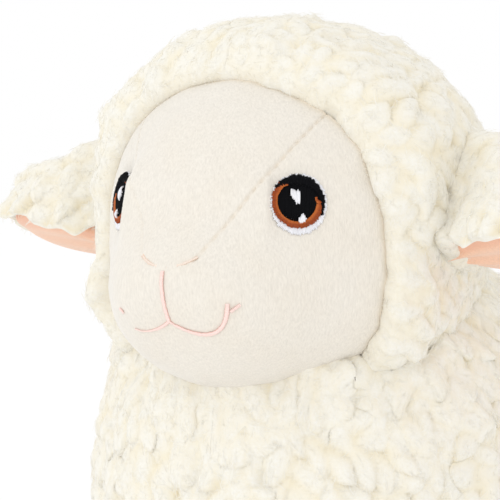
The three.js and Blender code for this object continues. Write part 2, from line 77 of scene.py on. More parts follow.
def share(name, description, default):
    """A number without a unit."""
    return bpy.props.FloatProperty(name=name, description=description, default=default, precision=4)


def place(name, description, default):
    """A point or a set of three lengths in metres."""
    return bpy.props.FloatVectorProperty(
        name=name, description=description, default=default, unit="LENGTH", precision=5
    )


def colour(name, description, code):
    """A colour, given here as the usual screen code."""
    parts = np.array([(code >> 16) & 255, (code >> 8) & 255, code & 255]) / 255
    linear = np.where(parts <= 0.04045, parts / 12.92, ((parts + 0.055) / 1.055) ** 2.4)
    return bpy.props.FloatVectorProperty(
        name=name, description=description, default=tuple(linear), subtype="COLOR", min=0, max=1
    )


class HeadSizes(bpy.types.PropertyGroup):
    """The head, measured over its face fabric."""

    centre: place("Centre", "Centre of the head, on the axis that it turns about", JOINT_AT["head_turn"])
    radius: length("Radius", "Radius of the round head", 0.052)
    muzzle_halves: place("Muzzle halves", "Half width, half length and half height of the muzzle", (0.037, 0.049, 0.03))
    muzzle_forward: length("Muzzle forward", "How far the muzzle's middle lies ahead of the head's centre", 0.02)
    muzzle_drop: length("Muzzle drop", "How far the muzzle's middle lies below the head's centre", 0.0185)
    muzzle_blend: length("Muzzle blend", "Softness of the line where the muzzle leaves the head", 0.0035)
    brow_height: length("Brow height", "How far the brow stands out from the round head", 0.006)
    brow_pitch: angle("Brow pitch", "Height of the brow's middle", 4)
    brow_half_yaw: angle("Brow half yaw", "How far the brow reaches to each side", 30)
    brow_half_pitch: angle("Brow half pitch", "How far the brow reaches up and down", 38)
    cheek_height: length("Cheek height", "How far each cheek stands out over the jaw", 0.0050)
    cheek_yaw: angle("Cheek yaw", "Direction of the left cheek, from the front", 58)
    cheek_pitch: angle("Cheek pitch", "Height of the cheeks' middle", -32)
    cheek_half_yaw: angle("Cheek half yaw", "How far a cheek reaches to each side", 24)
    cheek_half_pitch: angle("Cheek half pitch", "How far a cheek reaches up and down", 16)
    nose_pitch: angle("Nose pitch", "Direction of the nose; below the horizon is negative", -14)
    opening: angle("Opening", "Angle from the nose to the seam between face and wool", 62)
    opening_lift: angle("Opening lift", "What the opening gains above the nose and loses below it", 2.5)
    corner_turn: angle("Corner turn", "Direction of the opening's upper corners from its top", 48)
    corner_half: angle("Corner half", "How wide each corner is", 20)
    corner_reach: angle("Corner reach", "How much further the opening reaches there", 2.6)
    lower_turn: angle("Lower turn", "Direction of the opening's lower corners from its top", 116)
    lower_half: angle("Lower half", "How wide each lower corner is", 24)
    lower_reach: angle("Lower reach", "How much less far the opening reaches there", 2.6)
    uneven: angle("Uneven", "How much the wool's edge wavers", 0.55)
    plush: length("Plush", "Thickness of the face fabric", 0.002)
    socket_depth: length("Socket depth", "How far the right eye is drawn in", 0.0013)
    socket_swell: length("Socket swell", "How far the fabric swells between that eye and the bridge", 0.0023)
    socket_wall: length("Socket wall", "Width of the slope down to the eye's inner edge", 0.0021)
    socket_reach: length("Socket reach", "How far around the eye the fabric is drawn in", 0.004)
    socket_half_height: length("Socket half height", "How far the swelling reaches up and down", 0.012)
    left_socket: share("Left socket", "The left eye's relief as a share of the right one's", 0.5)
    mouth_depth: length("Mouth depth", "How far the mouth's middle is drawn in", 0.0034)
    mouth_half: length("Mouth half", "How far from the mouth's middle that reaches", 0.013)
    seam_width: length("Seam width", "Half width of the hollow that a seam draws in", 0.0007)
    seam_depth: length("Seam depth", "Depth of that hollow", 0.0006)
    stitch_pitch: length("Stitch pitch", "Distance between the stitches of a seam", 0.0028)
    hem_width: length("Hem width", "How far from the wool the face fabric starts to turn in", 0.0014)
    hem_depth: length("Hem depth", "How far it turns in at the wool", 0.00035)
    forehead_slope: share("Forehead slope", "How fast the forehead panel widens from the nose", 0.77)


class ThreadSizes(bpy.types.PropertyGroup):
    """The embroidery, in distances across and up from the middle of each eye and of the nose."""

    pitch: length("Pitch", "Distance between neighbouring stitches", 0.00036)
    radius: length("Radius", "Radius of the embroidery thread", 0.00026)
    lift: length("Lift", "Height of the lowest threads' middle over the fabric", 0.0004)
    layer: length("Layer", "What each colour laid over another adds", 0.00035)
    ragged: length("Ragged", "How unevenly the stitches end", 0.0003)
    eye_yaw: angle("Eye yaw", "Direction of the left eye, from the front", 33.0)
    eye_pitch: angle("Eye pitch", "Height of the eyes' direction", 7.7)
    eye_half_width: length("Eye half width", "Over the coloured threads", 0.0074)
    eye_half_height: length("Eye half height", "Over the coloured threads", 0.00752)
    pupil_across: length("Pupil across", "Middle of the pupil, outwards", 0.00045)
    pupil_half_width: length("Pupil half width", "Half width of the pupil", 0.0055)
    pupil_half_height: length("Pupil half height", "Half height of the pupil", 0.0056)
    rim_width: length("Rim width", "Width of the white rim over the eye", 0.0003)
    rim_below: length("Rim below", "What the white rim gains below the eye", 0.0016)
    nose_bottom: length("Nose bottom", "Height of the point of the nose's V", 0.0065)
    nose_rise: length("Nose rise", "From the point of the V to its arms", 0.0025)
    nose_half_width: length("Nose half width", "Half width of the V", 0.0097)
    nose_width: length("Nose thread width", "Width of the V's line", 0.0008)
    lip_width: length("Lip width", "Width of the mouth's lines", 0.0014)
    mouth_middle: length("Mouth middle", "Where the mouth's lines meet, above the nose axis", -0.0091)
    mouth_half_width: length("Mouth half width", "From the middle of the mouth to a corner", 0.0188)
    mouth_dip: length("Mouth dip", "Lowest point of each smile line, below the middle of the mouth", 0.0041)
    corner_rise: length("Corner rise", "Height of the mouth's corners over its middle", 0.0046)
    corner_half: length("Corner half", "Half length of the short stitch at each corner", 0.0017)


class WoolSizes(bpy.types.PropertyGroup):
    """The fleece of hood, body, ears and tail."""

    fleece: length("Fleece", "Backing and pile together", 0.013)
    edge: share("Edge", "Share of the pile that is left at the face", 0.48)
    rise: angle("Rise", "Angle from the face over which the pile gains its height", 14)
    cheek: share("Cheek", "What that share gains beside the cheeks", 0.28)
    cheek_pitch: angle("Cheek pitch", "Height at which it gains most", -24)
    cheek_half: angle("Cheek half", "How far up and down that reaches", 18)
    dimple: share("Dimple", "Share of the pile that is missing around the ears", 0.62)
    dimple_angle: angle("Dimple angle", "Reach of that shorter pile", 17)
    shoulders: length("Shoulders", "What the head's wool gains all round above the ears", 0.0015)
    shoulders_pitch: angle("Shoulders pitch", "Height at which it gains most", 33)
    shoulders_half: angle("Shoulders half", "How far up and down that reaches", 15)
    crown: length("Crown", "What the head's wool loses on top", 0.0016)
    lock: length("Lock", "Distance between the locks of wool", 0.0066)
    lock_half_length: length("Lock half length", "From a lock's middle to its tip", 0.0090)
    lock_half_width: length("Lock half width", "From a lock's middle to its side", 0.0040)
    bend: share("Bend", "How far a lock bends to one side, as a share of its half width", 0.6)
    lump: length("Lump", "Height of a lock over the hollows beside it", 0.0035)
    hood_share: share("Hood share", "Height of the head's locks, as a share of the body's", 0.82)
    overhang: share("Overhang", "How far a lock leans out over its tip, as a share of its height", 0.75)
    sunk: share("Sunk", "Share of a lock's height by which the hollows lie under the pile's outside", 1.05)
    shoulder: length("Shoulder", "How far from the face the wool is rounded off", 0.0014)
    fibre: length("Fibre", "Radius of a fibre", 0.00006)
    fibre_length: length("Fibre length", "Length of a fibre's free part", 0.0045)
    fibres: share("Fibres", "Fibres on each square millimetre", 0.5)
    lift: share("Lift", "Slope at which a fibre leaves its lock", 0.16)
    drop: share("Drop", "How much of that it loses again by its tip", 0.1)
    curl: share("Curl", "How far a fibre bends sideways, as a share of its length", 0.22)
    wisp: length("Wisp", "How far the locks' outlines waver", 0.0013)
    tuft: length("Tuft", "Height of the small tufts on the locks", 0.0004)
    clump: length("Clump", "Height of the clumps that neighbouring locks form", 0.0013)
    stray: share("Stray", "How much the locks stray from the way that they are combed", 0.55)


class BodySizes(bpy.types.PropertyGroup):
    """The body, measured over its wool."""

    centre: place("Centre", "Middle of the body", (0, 0, 0.109))
    halves: place("Halves", "Half width, half length and half height", (0.078, 0.088, 0.07))
    fullness: share("Fullness", "2 is an ellipsoid, and more is fuller at the corners", 2.2)
    rump: share("Rump", "How much wider the rump is than the middle", 0.06)
    belly_half_width: length("Belly half width", "Half width of the panel between the legs", 0.015)
    belly_half_length: length("Belly half length", "Half length of the panel between the legs", 0.058)
    collar: length("Collar", "What the wool gains where it meets the head", 0.0032)
    collar_reach: length("Collar reach", "How fast that runs out", 0.009)


class EarSizes(bpy.types.PropertyGroup):
    """An ear, measured from the seam that it turns about."""

    left_at: place("Left at", "Where the left ear turns", JOINT_AT["left_ear_flap"])
    tilt: angle("Tilt", "How far the ear's front edge is turned up", 25)
    lift: angle("Lift", "How far the ear's tip is turned up", 6)
    reach: length("Reach", "From the seam to the tip", 0.045)
    half_width: length("Half width", "Half width at the widest place", 0.019)
    widest: share("Widest", "Where the ear is widest, as a share of its length", 0.5)
    root_half_width: length("Root half width", "Half width at the seam", 0.012)
    root_radius: length("Root radius", "Radius of the rolled root", 0.007)
    puff_height: length("Puff height", "Height of the wool over the leaf at the root", 0.037)
    buried: length("Buried", "How far the ear's wool runs into the head's", 0.010)
    wool_height: length("Wool height", "Greatest height of the wool over the leaf", 0.0182)
    wool_full: share("Wool full", "Where the wool has gained that height", 0.75)
    lining: length("Lining", "Thickness of the lining", 0.0042)
    lining_inset: length("Lining inset", "How far the lining stays inside the ear's edge", 0.0016)
    lining_tip_inset: length("Lining tip inset", "How far the lining ends before the ear's tip", 0.005)
    lining_start: length("Lining start", "From the seam to the lining's point", -0.004)
    lining_taper: length("Lining taper", "Length over which the lining widens", 0.014)
    skirt: length("Skirt", "How far the wool hangs down over the ear's edge", 0.0042)


class TailSizes(bpy.types.PropertyGroup):
    """The tail, measured from where it turns."""

    root_at: place("Root at", "Where the tail turns", JOINT_AT["tail_flap"])
    reach: length("Reach", "From there to the tip", 0.0312)
    neck: length("Neck", "Length of the narrow part", 0.013)
    root_radius: length("Root radius", "Radius of the narrow part", 0.009)
    middle_radius: length("Middle radius", "Greatest radius", 0.012)


class LegSizes(bpy.types.PropertyGroup):
    """A leg, measured from the floor."""

    pivot_height: length("Pivot height", "Height of the joint", JOINT_AT["front_left_leg_swing"][2])
    root_radius: length("Root radius", "Radius at the joint", 0.019)
    waist_radius: length("Waist radius", "Radius at the narrowest place", 0.0164)
    waist_height: length("Waist height", "Height of the narrowest place", 0.032)
    foot_radius: length("Foot radius", "Greatest radius of the foot", 0.0184)
    foot_height: length("Foot height", "Height of that radius", 0.008)
    sole_radius: length("Sole radius", "Radius where the leg stands on the floor", 0.0162)
    sole_thickness: length("Sole thickness", "Thickness of the sole", 0.0025)


class Finishes(bpy.types.PropertyGroup):
    """Colours of the fabrics and threads."""

    # The last of these three wool colours is painted shade for the hollows between locks and the fibres in them; the
    # middle one is also painted shade towards each fibre's root
    wool_tip: colour("Wool tip", "Tips of the fleece", 0xF2F0EA)
    wool_mid: colour("Wool middle", "Fleece under its tips", 0xEEEADE)
    wool_painted_shade: colour("Wool root", "Roots of the fleece", 0xEFE6CF)
    face: colour("Face", "Pile of the face fabric", 0xECE6DC)
    # Painted shade of the face fabric, in its seams and where it turns in under the wool; the legs use it too, along
    # their seam and near the floor
    face_painted_shade: colour("Face hollow", "The same in seams and hollows", 0xEBDCC4)
    ear: colour("Ear", "Pile of the ears' lining", 0xF9CDB2)
    # Painted shade of the ears' lining, under the wool and in its folds
    ear_painted_shade: colour("Ear hollow", "The same in its hollows", 0xEEB091)
    filling: colour("Filling", "Wadding inside", 0xF8F8F6)
    white: colour("White thread", "White embroidery", 0xF6F6FB)
    black: colour("Black thread", "Black embroidery", 0x050509)
    brown: colour("Brown thread", "Brown embroidery", 0x9C4410)
    brown_light: colour("Light brown thread", "Inner edge of the brown embroidery", 0xCC6E2C)
    pink: colour("Pink thread", "Middle of the mouth's stitches", 0xFAE2DB)
    pink_end: colour("Pink thread end", "Ends of the mouth's stitches", 0xF3C2B7)
    pink_pale: colour("Pale pink thread", "Middle of the nose's stitches", 0xF2E4D8)
    pink_pale_end: colour("Pale pink thread end", "Ends of the nose's stitches", 0xEDCDB6)
    floor: colour("Floor", "Floor of the studio", 0xFEFEFE)
    key_light: colour("Key light", "Light of the large lamp", 0xE4F2FF)
    fill_light: colour("Fill light", "Light of the second lamp", 0xFFFBF0)


class StudioSizes(bpy.types.PropertyGroup):
    """Camera and light."""

    azimuth: angle("Azimuth", "Direction of the camera from the front, to the sheep's left", 29)
    elevation: angle("Elevation", "Height of the camera", 2.5)
    distance: length("Distance", "From the head's centre to the camera", 0.56)
    focal: share("Focal", "Focal length in picture widths", 3.734)
    head_right: share("Head right", "Head's centre to the right of the middle, in picture widths", 0.07)
    head_up: share("Head up", "Head's centre above the middle, in picture widths", 0.062)
    sky: share("Sky", "Strength of the light from all round", 1.02)
    key: share("Key", "Watts of the large lamp", 1.35)
    fill: share("Fill", "Watts of the second lamp", 1.2)


GROUPS = {
    "sheep_head": HeadSizes,
    "sheep_thread": ThreadSizes,
    "sheep_wool": WoolSizes,
    "sheep_body": BodySizes,
    "sheep_ear": EarSizes,
    "sheep_tail": TailSizes,
    "sheep_leg": LegSizes,
    "sheep_finish": Finishes,
    "sheep_studio": StudioSizes,
}


def sizes(name):
    """One group of sizes, with the values that the scene holds."""
    return getattr(bpy.context.scene, "sheep_" + name)


# Arrays of points

# Large odd numbers that scatter the bits of a cube's corner
HASH_OF_CORNER = (73856093, 19349663, 83492791)
HASH_OF_SEED = 40503
HASH_MIX = 1274126177


def unit(v):
    """The same directions at unit length."""
    return v / np.maximum(np.linalg.norm(v, axis=-1, keepdims=True), 1e-12)


def smooth(s):
    """A soft step from 0 to 1."""
    s = np.clip(s, 0, 1)
    return s * s * (3 - 2 * s)


def mix(a, b, s):
    """From a to b by the share s."""
    return a + (b - a) * s


def dot(a, b):
    """Products of vectors, one for each pair."""
    return (a * b).sum(-1)


def bell(*offsets):
    """A bell-shaped curve: 1 in the middle, and less with each offset from it, given in half widths."""
    return np.exp(-sum(offset**2 for offset in offsets))


def joined(x, y, z):
    """Points from their three parts, each stretched to the shape of all."""
    return np.stack(np.broadcast_arrays(x, y, z), -1)


def heading(yaw, pitch):
    """The direction at a yaw from the front, to the sheep's left, and a pitch over the horizon."""
    return np.array([np.cos(pitch) * np.sin(yaw), -np.cos(pitch) * np.cos(yaw), np.sin(pitch)])


def flattened(v, normal):
    """The part of v that lies in the surface with that normal, at unit length."""
    return unit(v - dot(v, normal)[..., None] * normal)


def clouds(points, size, seed):
    """Soft random numbers from -1 to 1: one at each corner of cubes of that size, joined by smooth steps."""
    at = points / size
    corner = np.floor(at).astype(np.int64)
    part = smooth(at - corner)
    total = np.zeros(points.shape[:-1])
    for step in np.ndindex(2, 2, 2):
        c = corner + step
        parts = c * HASH_OF_CORNER
        code = parts[..., 0] ^ parts[..., 1] ^ parts[..., 2] ^ (seed * HASH_OF_SEED)
        code = ((code ^ (code >> 13)) * HASH_MIX) & 0xFFFFFFFF
        value = ((code ^ (code >> 16)) & 0xFFFF) / 32767.5 - 1
        total += value * np.prod(np.where(step, part, 1 - part), axis=-1)
    return total


def within_reach(points, centres, reach):
    """Goes through the centres that may lie within reach of the points. Each time it gives one centre's number
    for every point, or -1. The centres are sorted into cubes, and a point looks into the 27 around it."""
    low = np.minimum(points.min(0), centres.min(0)) - reach
    home, places = (((p - low) / reach).astype(np.int64) for p in (points, centres))
    span = np.maximum(home.max(0), places.max(0)) + 2

    def key(cube):
        return (cube[:, 0] * span[1] + cube[:, 1]) * span[2] + cube[:, 2]

    keys = key(places)
    order = np.argsort(keys, kind="stable")
    ordered = keys[order]
    rank = np.arange(len(order)) - np.searchsorted(ordered, ordered)
    table = np.full((span.prod(), rank.max() + 1), -1)
    table[ordered, rank] = order
    for step in np.ndindex(3, 3, 3):
        yield from table[key(home + np.array(step) - 1)].T


def nearest_of(points, centres, reach):
    """The number of the centre that is nearest to each point."""
    which = np.zeros(len(points), np.int64)
    near = np.full(len(points), 3 * reach)
    for column in within_reach(points, centres, reach):
        far = np.where(column >= 0, np.linalg.norm(points - centres[column], axis=1), 3 * reach)
        which = np.where(far < near, column, which)
        near = np.minimum(near, far)
    return which


def sheet_normals(sheet, closed=False):
    """Normals of a sheet of points, from its steps along rows and columns. The columns of a closed sheet
    meet, and a row that is a single point takes the mean of the row beside it."""
    if closed:
        sheet = np.concatenate([sheet[:, -2:-1], sheet, sheet[:, 1:2]], 1)
    cross = np.cross(np.gradient(sheet, axis=1), np.gradient(sheet, axis=0))
    cross = cross[:, 1:-1] if closed else cross
    for end, beside in ((0, 1), (-1, -2)):
        if np.linalg.norm(cross[end], axis=-1).max() < 1e-9:
            cross[end] = cross[beside].mean(0)
    return unit(cross)


def turned_outwards(normals, sheet, centre):
    """The same normals, all turned round if most of them point at the centre."""
    return normals if (dot(normals, sheet - centre) > 0).mean() > 0.5 else -normals


def quads_of(index):
    """Four-sided faces between the neighbours in a sheet of point numbers."""
    return np.stack([index[:-1, :-1], index[:-1, 1:], index[1:, 1:], index[1:, :-1]], -1).reshape(-1, 4)


def slab(outer, inner, closed=False):
    """A closed slab between two sheets of points: both sheets, and a strip along each of the four sides.
    The columns of a closed sheet meet, so it needs no strips there and its inside may have fewer rows."""
    top = np.arange(outer.shape[0] * outer.shape[1]).reshape(outer.shape[:2])
    low = top.size + np.arange(inner.shape[0] * inner.shape[1]).reshape(inner.shape[:2])
    sides = [(top[0], low[0]), (top[-1], low[-1])]
    if not closed:
        sides += [(top[:, 0], low[:, 0]), (top[:, -1], low[:, -1])]
    parts = [quads_of(top), quads_of(low)[:, ::-1]]
    parts += [quads_of(np.stack(side))[:, :: 1 if i in (1, 2) else -1] for i, side in enumerate(sides)]
    return np.concatenate([outer.reshape(-1, 3), inner.reshape(-1, 3)]), np.concatenate(parts)


def weighted_areas(sheet, weight):
    """Area of each face of a sheet, times a weight that is given at its points."""
    a, b, c, d = sheet[:-1, :-1], sheet[:-1, 1:], sheet[1:, 1:], sheet[1:, :-1]
    area = np.linalg.norm(np.cross(c - a, d - b), axis=-1) / 2
    return area * (weight[:-1, :-1] + weight[1:, 1:]) / 2


def scatter(sheet, fields, count, weight, seed):
    """count points spread over a sheet by its area times a weight, with the fields at those points."""
    area = weighted_areas(sheet, weight)
    edges = np.cumsum(area.ravel())
    random = np.random.default_rng(seed)
    picks = (np.arange(count) + random.random(count)) / count * edges[-1]
    row, column = np.divmod(np.minimum(np.searchsorted(edges, picks), area.size - 1), area.shape[1])
    s, t = random.random((2, count))

    def at(field):
        wide = (slice(None), *[None] * (field.ndim - 2))
        upper = mix(field[row, column], field[row, column + 1], s[wide])
        return mix(upper, mix(field[row + 1, column], field[row + 1, column + 1], s[wide]), t[wide])

    return [at(field) for field in (sheet, *fields)]


def full_turn(count):
    """Turns all the way round in even steps, as a row."""
    return np.linspace(0, 2 * np.pi, count)[None]


def ring_of(turn):
    """Level directions at each turn about +Z, from +X towards +Y."""
    return joined(np.cos(turn), np.sin(turn), 0.0 * turn)


def tubes(paths, radii, sides, side_way):
    """Closed tubes along paths of points. Each path's first and last points are the tube's ends, and every
    other point has a ring of that radius around it. Returns the points, the triangles and each point's share
    of the way along."""
    count, steps = paths.shape[:2]
    along = unit(np.gradient(paths, axis=1))
    across = flattened(np.broadcast_to(side_way, paths.shape), along)
    other = np.cross(along, across)
    turn = 2 * np.pi * np.arange(sides) / sides
    ring = across[:, 1:-1, None] * np.cos(turn)[:, None] + other[:, 1:-1, None] * np.sin(turn)[:, None]
    rings = paths[:, 1:-1, None] + ring * radii[:, 1:-1, None, None]
    points = np.concatenate([paths[:, :1], rings.reshape(count, -1, 3), paths[:, -1:]], 1)
    each = points.shape[1]
    index = 1 + np.arange((steps - 2) * sides).reshape(steps - 2, sides)
    after = np.roll(index, -1, 1)
    start = np.stack([np.zeros(sides, int), after[0], index[0]], -1)
    end = np.stack([np.full(sides, each - 1), index[-1], after[-1]], -1)
    wall_a = np.stack([index[:-1], after[:-1], after[1:]], -1).reshape(-1, 3)
    wall_b = np.stack([index[:-1], after[1:], index[1:]], -1).reshape(-1, 3)
    one = np.concatenate([start, wall_a, wall_b, end])
    faces = (one[None] + each * np.arange(count)[:, None, None]).reshape(-1, 3)
    reach = np.linspace(0, 1, steps)
    share_along = np.concatenate([reach[:1], np.repeat(reach[1:-1], sides), reach[-1:]])
    return points.reshape(-1, 3), faces, share_along


# Blender objects

# Points closer than this are joined, shorter edges go, and steeper folds stay sharp
WELD = 1e-5
SHORTEST_EDGE = 1e-7
SHARP_ANGLE = np.radians(80)


def add_piece(name, points, faces, material, body, slot, replaced=(), uv=None, fields=None, weld=False, rounded=True):
    """A mesh object from whole arrays of points and faces, which rides on a body. A welded one has its
    double points joined, and a rounded one is shaded smoothly."""
    mesh = bpy.data.meshes.new(name)
    mesh.vertices.add(len(points))
    mesh.vertices.foreach_set("co", np.asarray(points, np.float32).ravel())
    mesh.loops.add(faces.size)
    mesh.loops.foreach_set("vertex_index", faces.astype(np.int32).ravel())
    mesh.polygons.add(len(faces))
    mesh.polygons.foreach_set("loop_start", np.arange(len(faces), dtype=np.int32) * faces.shape[1])
    mesh.update(calc_edges=True)
    if uv is not None:
        layer = mesh.uv_layers.new(name="OFBake")
        layer.data.foreach_set("uv", np.asarray(uv[faces.ravel()], np.float32).ravel())
    for key, values in (fields or {}).items():
        mesh.attributes.new(key, "FLOAT", "POINT").data.foreach_set("value", np.asarray(values, np.float32).ravel())
    if weld:
        made = bmesh.new()
        made.from_mesh(mesh)
        bmesh.ops.remove_doubles(made, verts=made.verts, dist=WELD)
        bmesh.ops.dissolve_degenerate(made, edges=made.edges, dist=SHORTEST_EDGE)
        bmesh.ops.recalc_face_normals(made, faces=made.faces)
        made.to_mesh(mesh)
        made.free()
    mesh.validate()
    mesh.polygons.foreach_set("use_smooth", np.full(len(mesh.polygons), rounded))
    if weld:
        mesh.set_sharp_from_angle(angle=SHARP_ANGLE)
    mesh.materials.append(material)
    mesh.update()
    piece = bpy.data.objects.new(name, mesh)
    bpy.context.scene.collection.objects.link(piece)
    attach(piece, body)
    if replaced:
        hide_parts(*replaced)
    return piece


def add_slab(name, outer, inner, material, body, slot, replaced=(), fields=None, closed=False):
    """A slab whose fields are given on its outside. Its inside counts as a crest and as no hollow, so it has no painted
    shade.
    """
    points, faces = slab(outer, inner, closed)
    spare = np.ones(inner.shape[0] * inner.shape[1])
    both = {key: np.concatenate([values.ravel(), spare * (key == "crest")]) for key, values in (fields or {}).items()}
    return add_piece(name, points, faces, material, body, slot, replaced, fields=both, weld=True)


# Materials


class Mixer:
    """The nodes of one material."""

    def __init__(self, name, roughness, sheen, sheen_roughness=0.5, specular=0.3):
        self.material = bpy.data.materials.new(name)
        self.material.use_nodes = True
        self.tree = self.material.node_tree
        self.shader = next(n for n in self.tree.nodes if n.type == "BSDF_PRINCIPLED")
        self.set(self.shader, Roughness=roughness)
        self.shader.inputs["Sheen Weight"].default_value = sheen
        self.shader.inputs["Sheen Roughness"].default_value = sheen_roughness
        self.shader.inputs["Specular IOR Level"].default_value = specular

    def set(self, node, **values):
        for key, value in values.items():
            node.inputs[key].default_value = value
        return node

    def link(self, out, into):
        self.tree.links.new(out, into)

    def node(self, kind, **values):
        made = self.tree.nodes.new(kind)
        for key, value in values.items():
            setattr(made, key, value)
        return made

    def object_place(self, scale=(1, 1, 1)):
        """Object coordinates, stretched."""
        coordinates = self.node("ShaderNodeTexCoord")
        mapping = self.node("ShaderNodeMapping")
        mapping.inputs["Scale"].default_value = scale
        self.link(coordinates.outputs["Object"], mapping.inputs["Vector"])
        return mapping.outputs["Vector"]

    def noise(self, vector, size, detail=2.0, roughness=0.5):
        """Noise whose features have about that size in metres."""
        made = self.node("ShaderNodeTexNoise")
        self.set(made, Scale=1 / size, Detail=detail, Roughness=roughness)
        self.link(vector, made.inputs["Vector"])
        return made.outputs["Fac"]

    def field(self, name):
        """A field that the mesh's points hold."""
        return self.node("ShaderNodeAttribute", attribute_name=name).outputs["Fac"]

    def thread_place(self):
        """Shares along and round a thread or strand, from its own map."""
        found = self.node("ShaderNodeUVMap", uv_map="OFBake")
        parts = self.node("ShaderNodeSeparateXYZ")
        self.link(found.outputs["UV"], parts.inputs["Vector"])
        return parts.outputs["X"], parts.outputs["Y"]

    def spread(self, value, low, high, to_low=0.0, to_high=1.0):
        """A value whose range from low to high is stretched to another range."""
        made = self.node("ShaderNodeMapRange")
        for key, number in zip(("From Min", "From Max", "To Min", "To Max"), (low, high, to_low, to_high)):
            made.inputs[key].default_value = number
        self.link(value, made.inputs["Value"])
        return made.outputs["Result"]

    def blended(self, factor, first, second):
        """Mixes two colours, which are colours or outputs of other nodes."""
        made = self.node("ShaderNodeMix", data_type="RGBA")
        self.link(factor, made.inputs[0])
        for socket, value in ((made.inputs[6], first), (made.inputs[7], second)):
            if isinstance(value, bpy.types.NodeSocket):
                self.link(value, socket)
            else:
                socket.default_value = (*value, 1)
        return made.outputs[2]

    def combined(self, first, second, operation="MULTIPLY"):
        """A product, sum or other combination of two numbers, which may be outputs of other nodes."""
        made = self.node("ShaderNodeMath", operation=operation)
        for socket, value in zip(made.inputs, (first, second)):
            if isinstance(value, (int, float)):
                socket.default_value = value
            else:
                self.link(value, socket)
        return made.outputs[0]

    def bump(self, height, distance, strength):
        """Relief of that depth in metres."""
        made = self.node("ShaderNodeBump")
        self.set(made, Strength=strength, Distance=distance)
        self.link(height, made.inputs["Height"])
        self.link(made.outputs["Normal"], self.shader.inputs["Normal"])

    def paint(self, output):
        """Gives the material its colour and returns it."""
        self.link(output, self.shader.inputs["Base Color"])
        return self.material


def shade(colour_value, by):
    """A colour made lighter or darker."""
    return tuple(min(1.0, part * by) for part in colour_value)


def fibre_material():
    """Wool fibres: painted shade makes them a little warmer and darker towards the root and in the hollows, and they
    are bright at the tip.
    """
    finish = sizes("finish")
    m = Mixer("wool_fibres", roughness=0.9, sheen=0.3, sheen_roughness=0.5, specular=0.05)
    along, tint = m.thread_place()
    bright = m.blended(m.spread(along, 0.0, 0.5), finish.wool_mid, finish.wool_tip)
    # Painted shade: fibres in the hollows lean towards the warm shade colour, and each fibre is darker towards its root
    return m.paint(m.blended(m.spread(tint, 0.35, 1.0, to_high=0.7), bright, finish.wool_painted_shade))


def undercoat_material():
    """The locks of wool, with a fine tangle of fibres: bright on their crests, and warm painted shade in the hollows.
    """
    finish = sizes("finish")
    m = Mixer("wool_undercoat", roughness=0.9, sheen=0.2, sheen_roughness=0.6, specular=0.1)
    fibres = m.noise(m.object_place(), size=0.0008, detail=3.0, roughness=0.65)
    bright = m.blended(m.spread(fibres, 0.3, 0.7), finish.wool_mid, finish.wool_tip)
    m.bump(fibres, distance=0.0004, strength=0.3)
    # Painted shade: where the crest field is low, the hollows take the warm shade colour
    return m.paint(m.blended(m.field("crest"), finish.wool_painted_shade, bright))


def plush_material(name, pile, hollow):
    """Short-pile fabric: a fine upright nap with soft brushed patches, and painted shade in its hollows."""
    m = Mixer(name, roughness=0.9, sheen=0.5, sheen_roughness=0.45, specular=0.2)
    upright = (1.0, 1.0, 0.28)
    nap = m.noise(m.object_place(upright), size=0.00055, detail=2.0, roughness=0.6)
    patches = m.noise(m.object_place(), size=0.012, detail=2.0, roughness=0.5)
    height = m.combined(nap, m.combined(patches, 0.6, "ADD"))
    m.bump(height, distance=0.0004, strength=0.55)
    napped = m.blended(m.spread(nap, 0.25, 0.75), shade(pile, 0.9), shade(pile, 1.04))
    brushed = m.blended(m.spread(patches, 0.35, 0.7, to_high=0.1), napped, hollow)
    # Painted shade: the hollow field mixes in the shade colour
    return m.paint(m.blended(m.field("hollow"), brushed, hollow))


def thread_material(name, main, other, roughness=0.42, specular=0.3, both_ends=False):
    """Embroidery thread: glossy strands that vary a little, with their own shade at the start of each stitch, or
    at both its ends."""
    m = Mixer(name, roughness, sheen=0.05, sheen_roughness=0.4, specular=specular)
    along, tint = m.thread_place()
    varied = m.blended(m.spread(tint, 0, 1, to_high=0.5), main, shade(main, 0.72))
    if both_ends:
        from_middle = m.combined(m.combined(along, 0.49, "SUBTRACT"), 0.0, "ABSOLUTE")
        return m.paint(m.blended(m.spread(from_middle, 0.22, 0.44), main, other))
    return m.paint(m.blended(m.spread(along, 0.5, 0.15), varied, other))


def filling_material():
    """Wadding: a soft white tangle."""
    finish = sizes("finish")
    m = Mixer("fibrefill", roughness=1.0, sheen=0.4)
    tangle = m.noise(m.object_place(), size=0.004, detail=5.0, roughness=0.7)
    m.bump(tangle, distance=0.003, strength=0.9)
    return m.paint(m.blended(m.spread(tangle, 0.3, 0.7), shade(finish.filling, 0.88), finish.filling))


# The head


def head_centre():
    """The point that all directions of the head start from."""
    return np.array(sizes("head").centre)


def muzzle_reach(d):
    """Distance from the head's centre to the far wall of the muzzle's ellipsoid; 0 where it misses."""
    h = sizes("head")
    halves = np.array(h.muzzle_halves)
    along = d / halves
    start = -np.array([0, -h.muzzle_forward, -h.muzzle_drop]) / halves
    a, b = dot(along, along), along @ start
    under_root = b * b - a * (start @ start - 1)
    return np.where(under_root > 0, np.maximum(0, (np.sqrt(np.maximum(under_root, 0)) - b) / a), 0)


